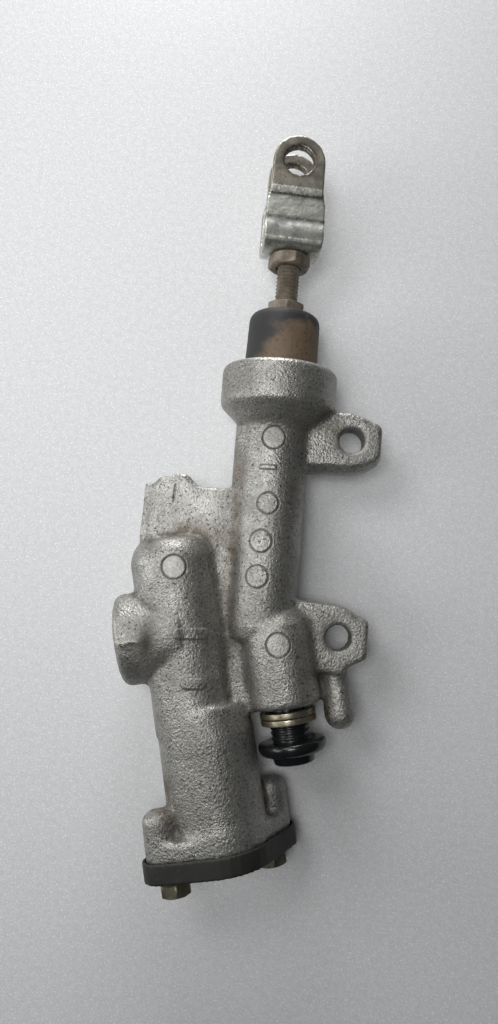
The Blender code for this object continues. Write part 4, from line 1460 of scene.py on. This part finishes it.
@dataclass
class OutletPlug:
    """The push-in plug of the outlet port, with its two sealing washers."""

    layout: Layout
    palette: Palette
    windings: Windings
    segments: int = 96

    def build(self) -> None:
        """Build the plug and both washers."""
        corners = [(0.0, -5.2, 0.0), (4.2, -5.2, 0.4), (4.6, -4.2, 0.3), (4.6, 8.5, 0.2), (6.2, 8.35, 0.3)]
        corners += [(8.5, 8.6, 1.0), (8.55, 11.0, 1.2), (7.3, 11.75, 0.6), (5.5, 11.8, 0.25)]
        corners += [(5.05, 14.1, 0.35), (0.0, 14.2, 0.0)]
        work = bmesh.new()
        add_rows(work, rows_of(rounded(corners, 7)), self.segments)
        values = {"Radius": 4.55, "Thickness": 0.38, "Pitch": 1.25, "Count": 10}
        joined(work, self.windings.mesh(self.windings.ribs, values, self.palette.plug), -3.6)
        item = piece("plug", work, self.layout.port, 40.0)
        dress(item, self.palette.plug, "plug", "black_plug", "port_plug")
        for name, low in (("inner", 1.1), ("outer", 2.75)):
            ring = [(5.25, low, 0.0), (7.0, low, 0.25), (7.0, low + 1.5, 0.25), (5.25, low + 1.5, 0.0)]
            item = turned_piece("washer_" + name, ring, self.segments, self.layout.port, closed=True)
            dress(item, self.palette.washer, "washers", "washer_metal", "sealing_washer_" + name)


@dataclass
class BorePieces:
    """What is inside the bore and the reservoir: the wound spring, and the frame's own nodes."""

    layout: Layout
    palette: Palette
    windings: Windings
    spring_low: float = -22.2
    spring_high: float = -7.9

    def build(self, nodes: dict) -> None:
        """Wind the spring and dress the hidden nodes."""
        self._spring()
        finishes = {
            "piston": self.palette.anodised,
            "primary_cup": self.palette.seal,
            "secondary_cup": self.palette.seal,
            "spring_seat": self.palette.steel,
            "stopper_washer": self.palette.clevis,
            "circlip": self.palette.steel,
            "diaphragm": self.palette.seal,
            "diaphragm_plate": self.palette.cap,
            "sight_glass_seal": self.palette.seal,
        }
        for name, material in finishes.items():
            nodes[name].data.materials.clear()
            nodes[name].data.materials.append(material)

    def _spring(self) -> None:
        """The return spring, wound between its two stations in the bore."""
        length = self.spring_high - self.spring_low
        values = {"Radius": 3.5, "Wire": 0.5, "Length": length, "Turns": 7.0, "Steps": 40, "Sides": 12}
        work = bmesh.new()
        joined(work, self.windings.mesh(self.windings.helix, values, self.palette.steel), self.spring_low)
        item = piece("spring", work, self.layout.bore, 60.0)
        item.data.materials.append(self.palette.steel)
        start = self.layout.bore.point(0, 0, self.spring_low)
        end = self.layout.bore.point(0, 0, self.spring_high)
        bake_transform(item)
        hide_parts("return_spring")


# ---------------------------------------------------------------------------------------------- studio


@dataclass(frozen=True)
class Lamp:
    """A round soft lamp: where it hangs and aims, its width, its power in watts and its spread in degrees."""

    name: str
    place: tuple[float, float, float]
    aim: tuple[float, float, float]
    size: float
    power: float
    spread: float = 180.0
    colour: Colour = (1.0, 1.0, 1.0)


@dataclass
class Studio:
    """The floor, the soft lights and the camera."""

    layout: Layout
    palette: Palette
    lamps: tuple[Lamp, ...] = (
        Lamp("low_top", (-60, 448, 90), (0, 0, 0), 180, 1.6),
        Lamp("low_left", (-450, 0, 120), (0, 0, 0), 200, 0.60),
        Lamp("left", (-400, -100, 300), (0, 0, 0), 240, 0.42),
        Lamp("upper_left", (-170, 150, 300), (-20, 40, 0), 160, 0.24, 150),
        Lamp("overhead", (-60, 0, 420), (-30, 60, 0), 150, 0.23, 110),
    )
    camera_place: tuple[float, float, float] = (-1.48, -14.96, 198.4)
    pitch: float = -5.742
    yaw: float = -1.066
    roll: float = -4.734
    lens: float = 27.18
    floor_size: float = 900.0

    def build(self) -> None:
        """Build the stage."""
        self._floor()
        self._camera()
        for lamp in self.lamps:
            self._light(lamp)
        self._world()
        bpy.context.scene.view_settings.view_transform = "Standard"

    def _floor(self) -> None:
        """A pale sheet under the lowest point."""
        half = self.floor_size * MM / 2
        work = bmesh.new()
        corners = [work.verts.new((x * half, y * half, 0)) for x, y in ((-1, -1), (1, -1), (1, 1), (-1, 1))]
        work.faces.new(corners)
        mesh = bpy.data.meshes.new("floor")
        work.to_mesh(mesh)
        work.free()
        floor = bpy.data.objects.new("floor", mesh)
        bpy.context.scene.collection.objects.link(floor)
        floor.data.materials.append(self.palette.floor)

    def _camera(self) -> None:
        """Look down on the cylinder as it lies."""
        data = bpy.data.cameras.new("camera")
        data.lens = self.lens
        data.sensor_width = 36.0
        data.clip_start = 0.005
        camera = bpy.data.objects.new("camera", data)
        bpy.context.scene.collection.objects.link(camera)
        turn = Matrix.Rotation(math.radians(self.roll), 3, "Z")
        turn = turn @ Matrix.Rotation(math.radians(self.pitch), 3, "X")
        turn = turn @ Matrix.Rotation(math.radians(self.yaw), 3, "Y")
        place = self.layout.top.point(*self.camera_place)
        camera.matrix_world = Matrix.Translation(place) @ turn.transposed().to_4x4()
        bpy.context.scene.camera = camera

    def _light(self, lamp: Lamp) -> None:
        """Hang a soft lamp."""
        data = bpy.data.lights.new(lamp.name, "AREA")
        data.shape = "DISK"
        data.size = lamp.size * MM
        data.energy = lamp.power
        data.spread = math.radians(lamp.spread)
        data.color = lamp.colour
        light = bpy.data.objects.new(lamp.name, data)
        bpy.context.scene.collection.objects.link(light)
        light.location = self.layout.top.point(*lamp.place)
        aim = self.layout.top.point(*lamp.aim) - light.location
        light.rotation_euler = aim.to_track_quat("-Z", "Y").to_euler()

    @staticmethod
    def _world() -> None:
        """A dim even surround."""
        world = bpy.data.worlds.new("surround")
        world.use_nodes = True
        bpy.context.scene.world = world
        ground = world.node_tree.nodes["Background"]
        ground.inputs["Color"].default_value = (0.80, 0.82, 0.85, 1.0)
        ground.inputs["Strength"].default_value = 0.03


def main() -> None:
    """Build the cylinder's looks round its frame."""
    logging.basicConfig(level=logging.INFO, format="%(message)s")
    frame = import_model()
    nodes = frame["nodes"]
    layout = Layout(frame)
    palette = Palette(layout)
    windings = Windings()
    Casting(layout, palette).build(nodes["cylinder_body"])
    RodTrain(layout, palette, windings).build(nodes)
    Reservoir(layout, palette).build(nodes)
    OutletPlug(layout, palette, windings).build()
    BorePieces(layout, palette, windings).build(nodes)
    Studio(layout, palette).build()


if __name__ == "__main__":
    main()
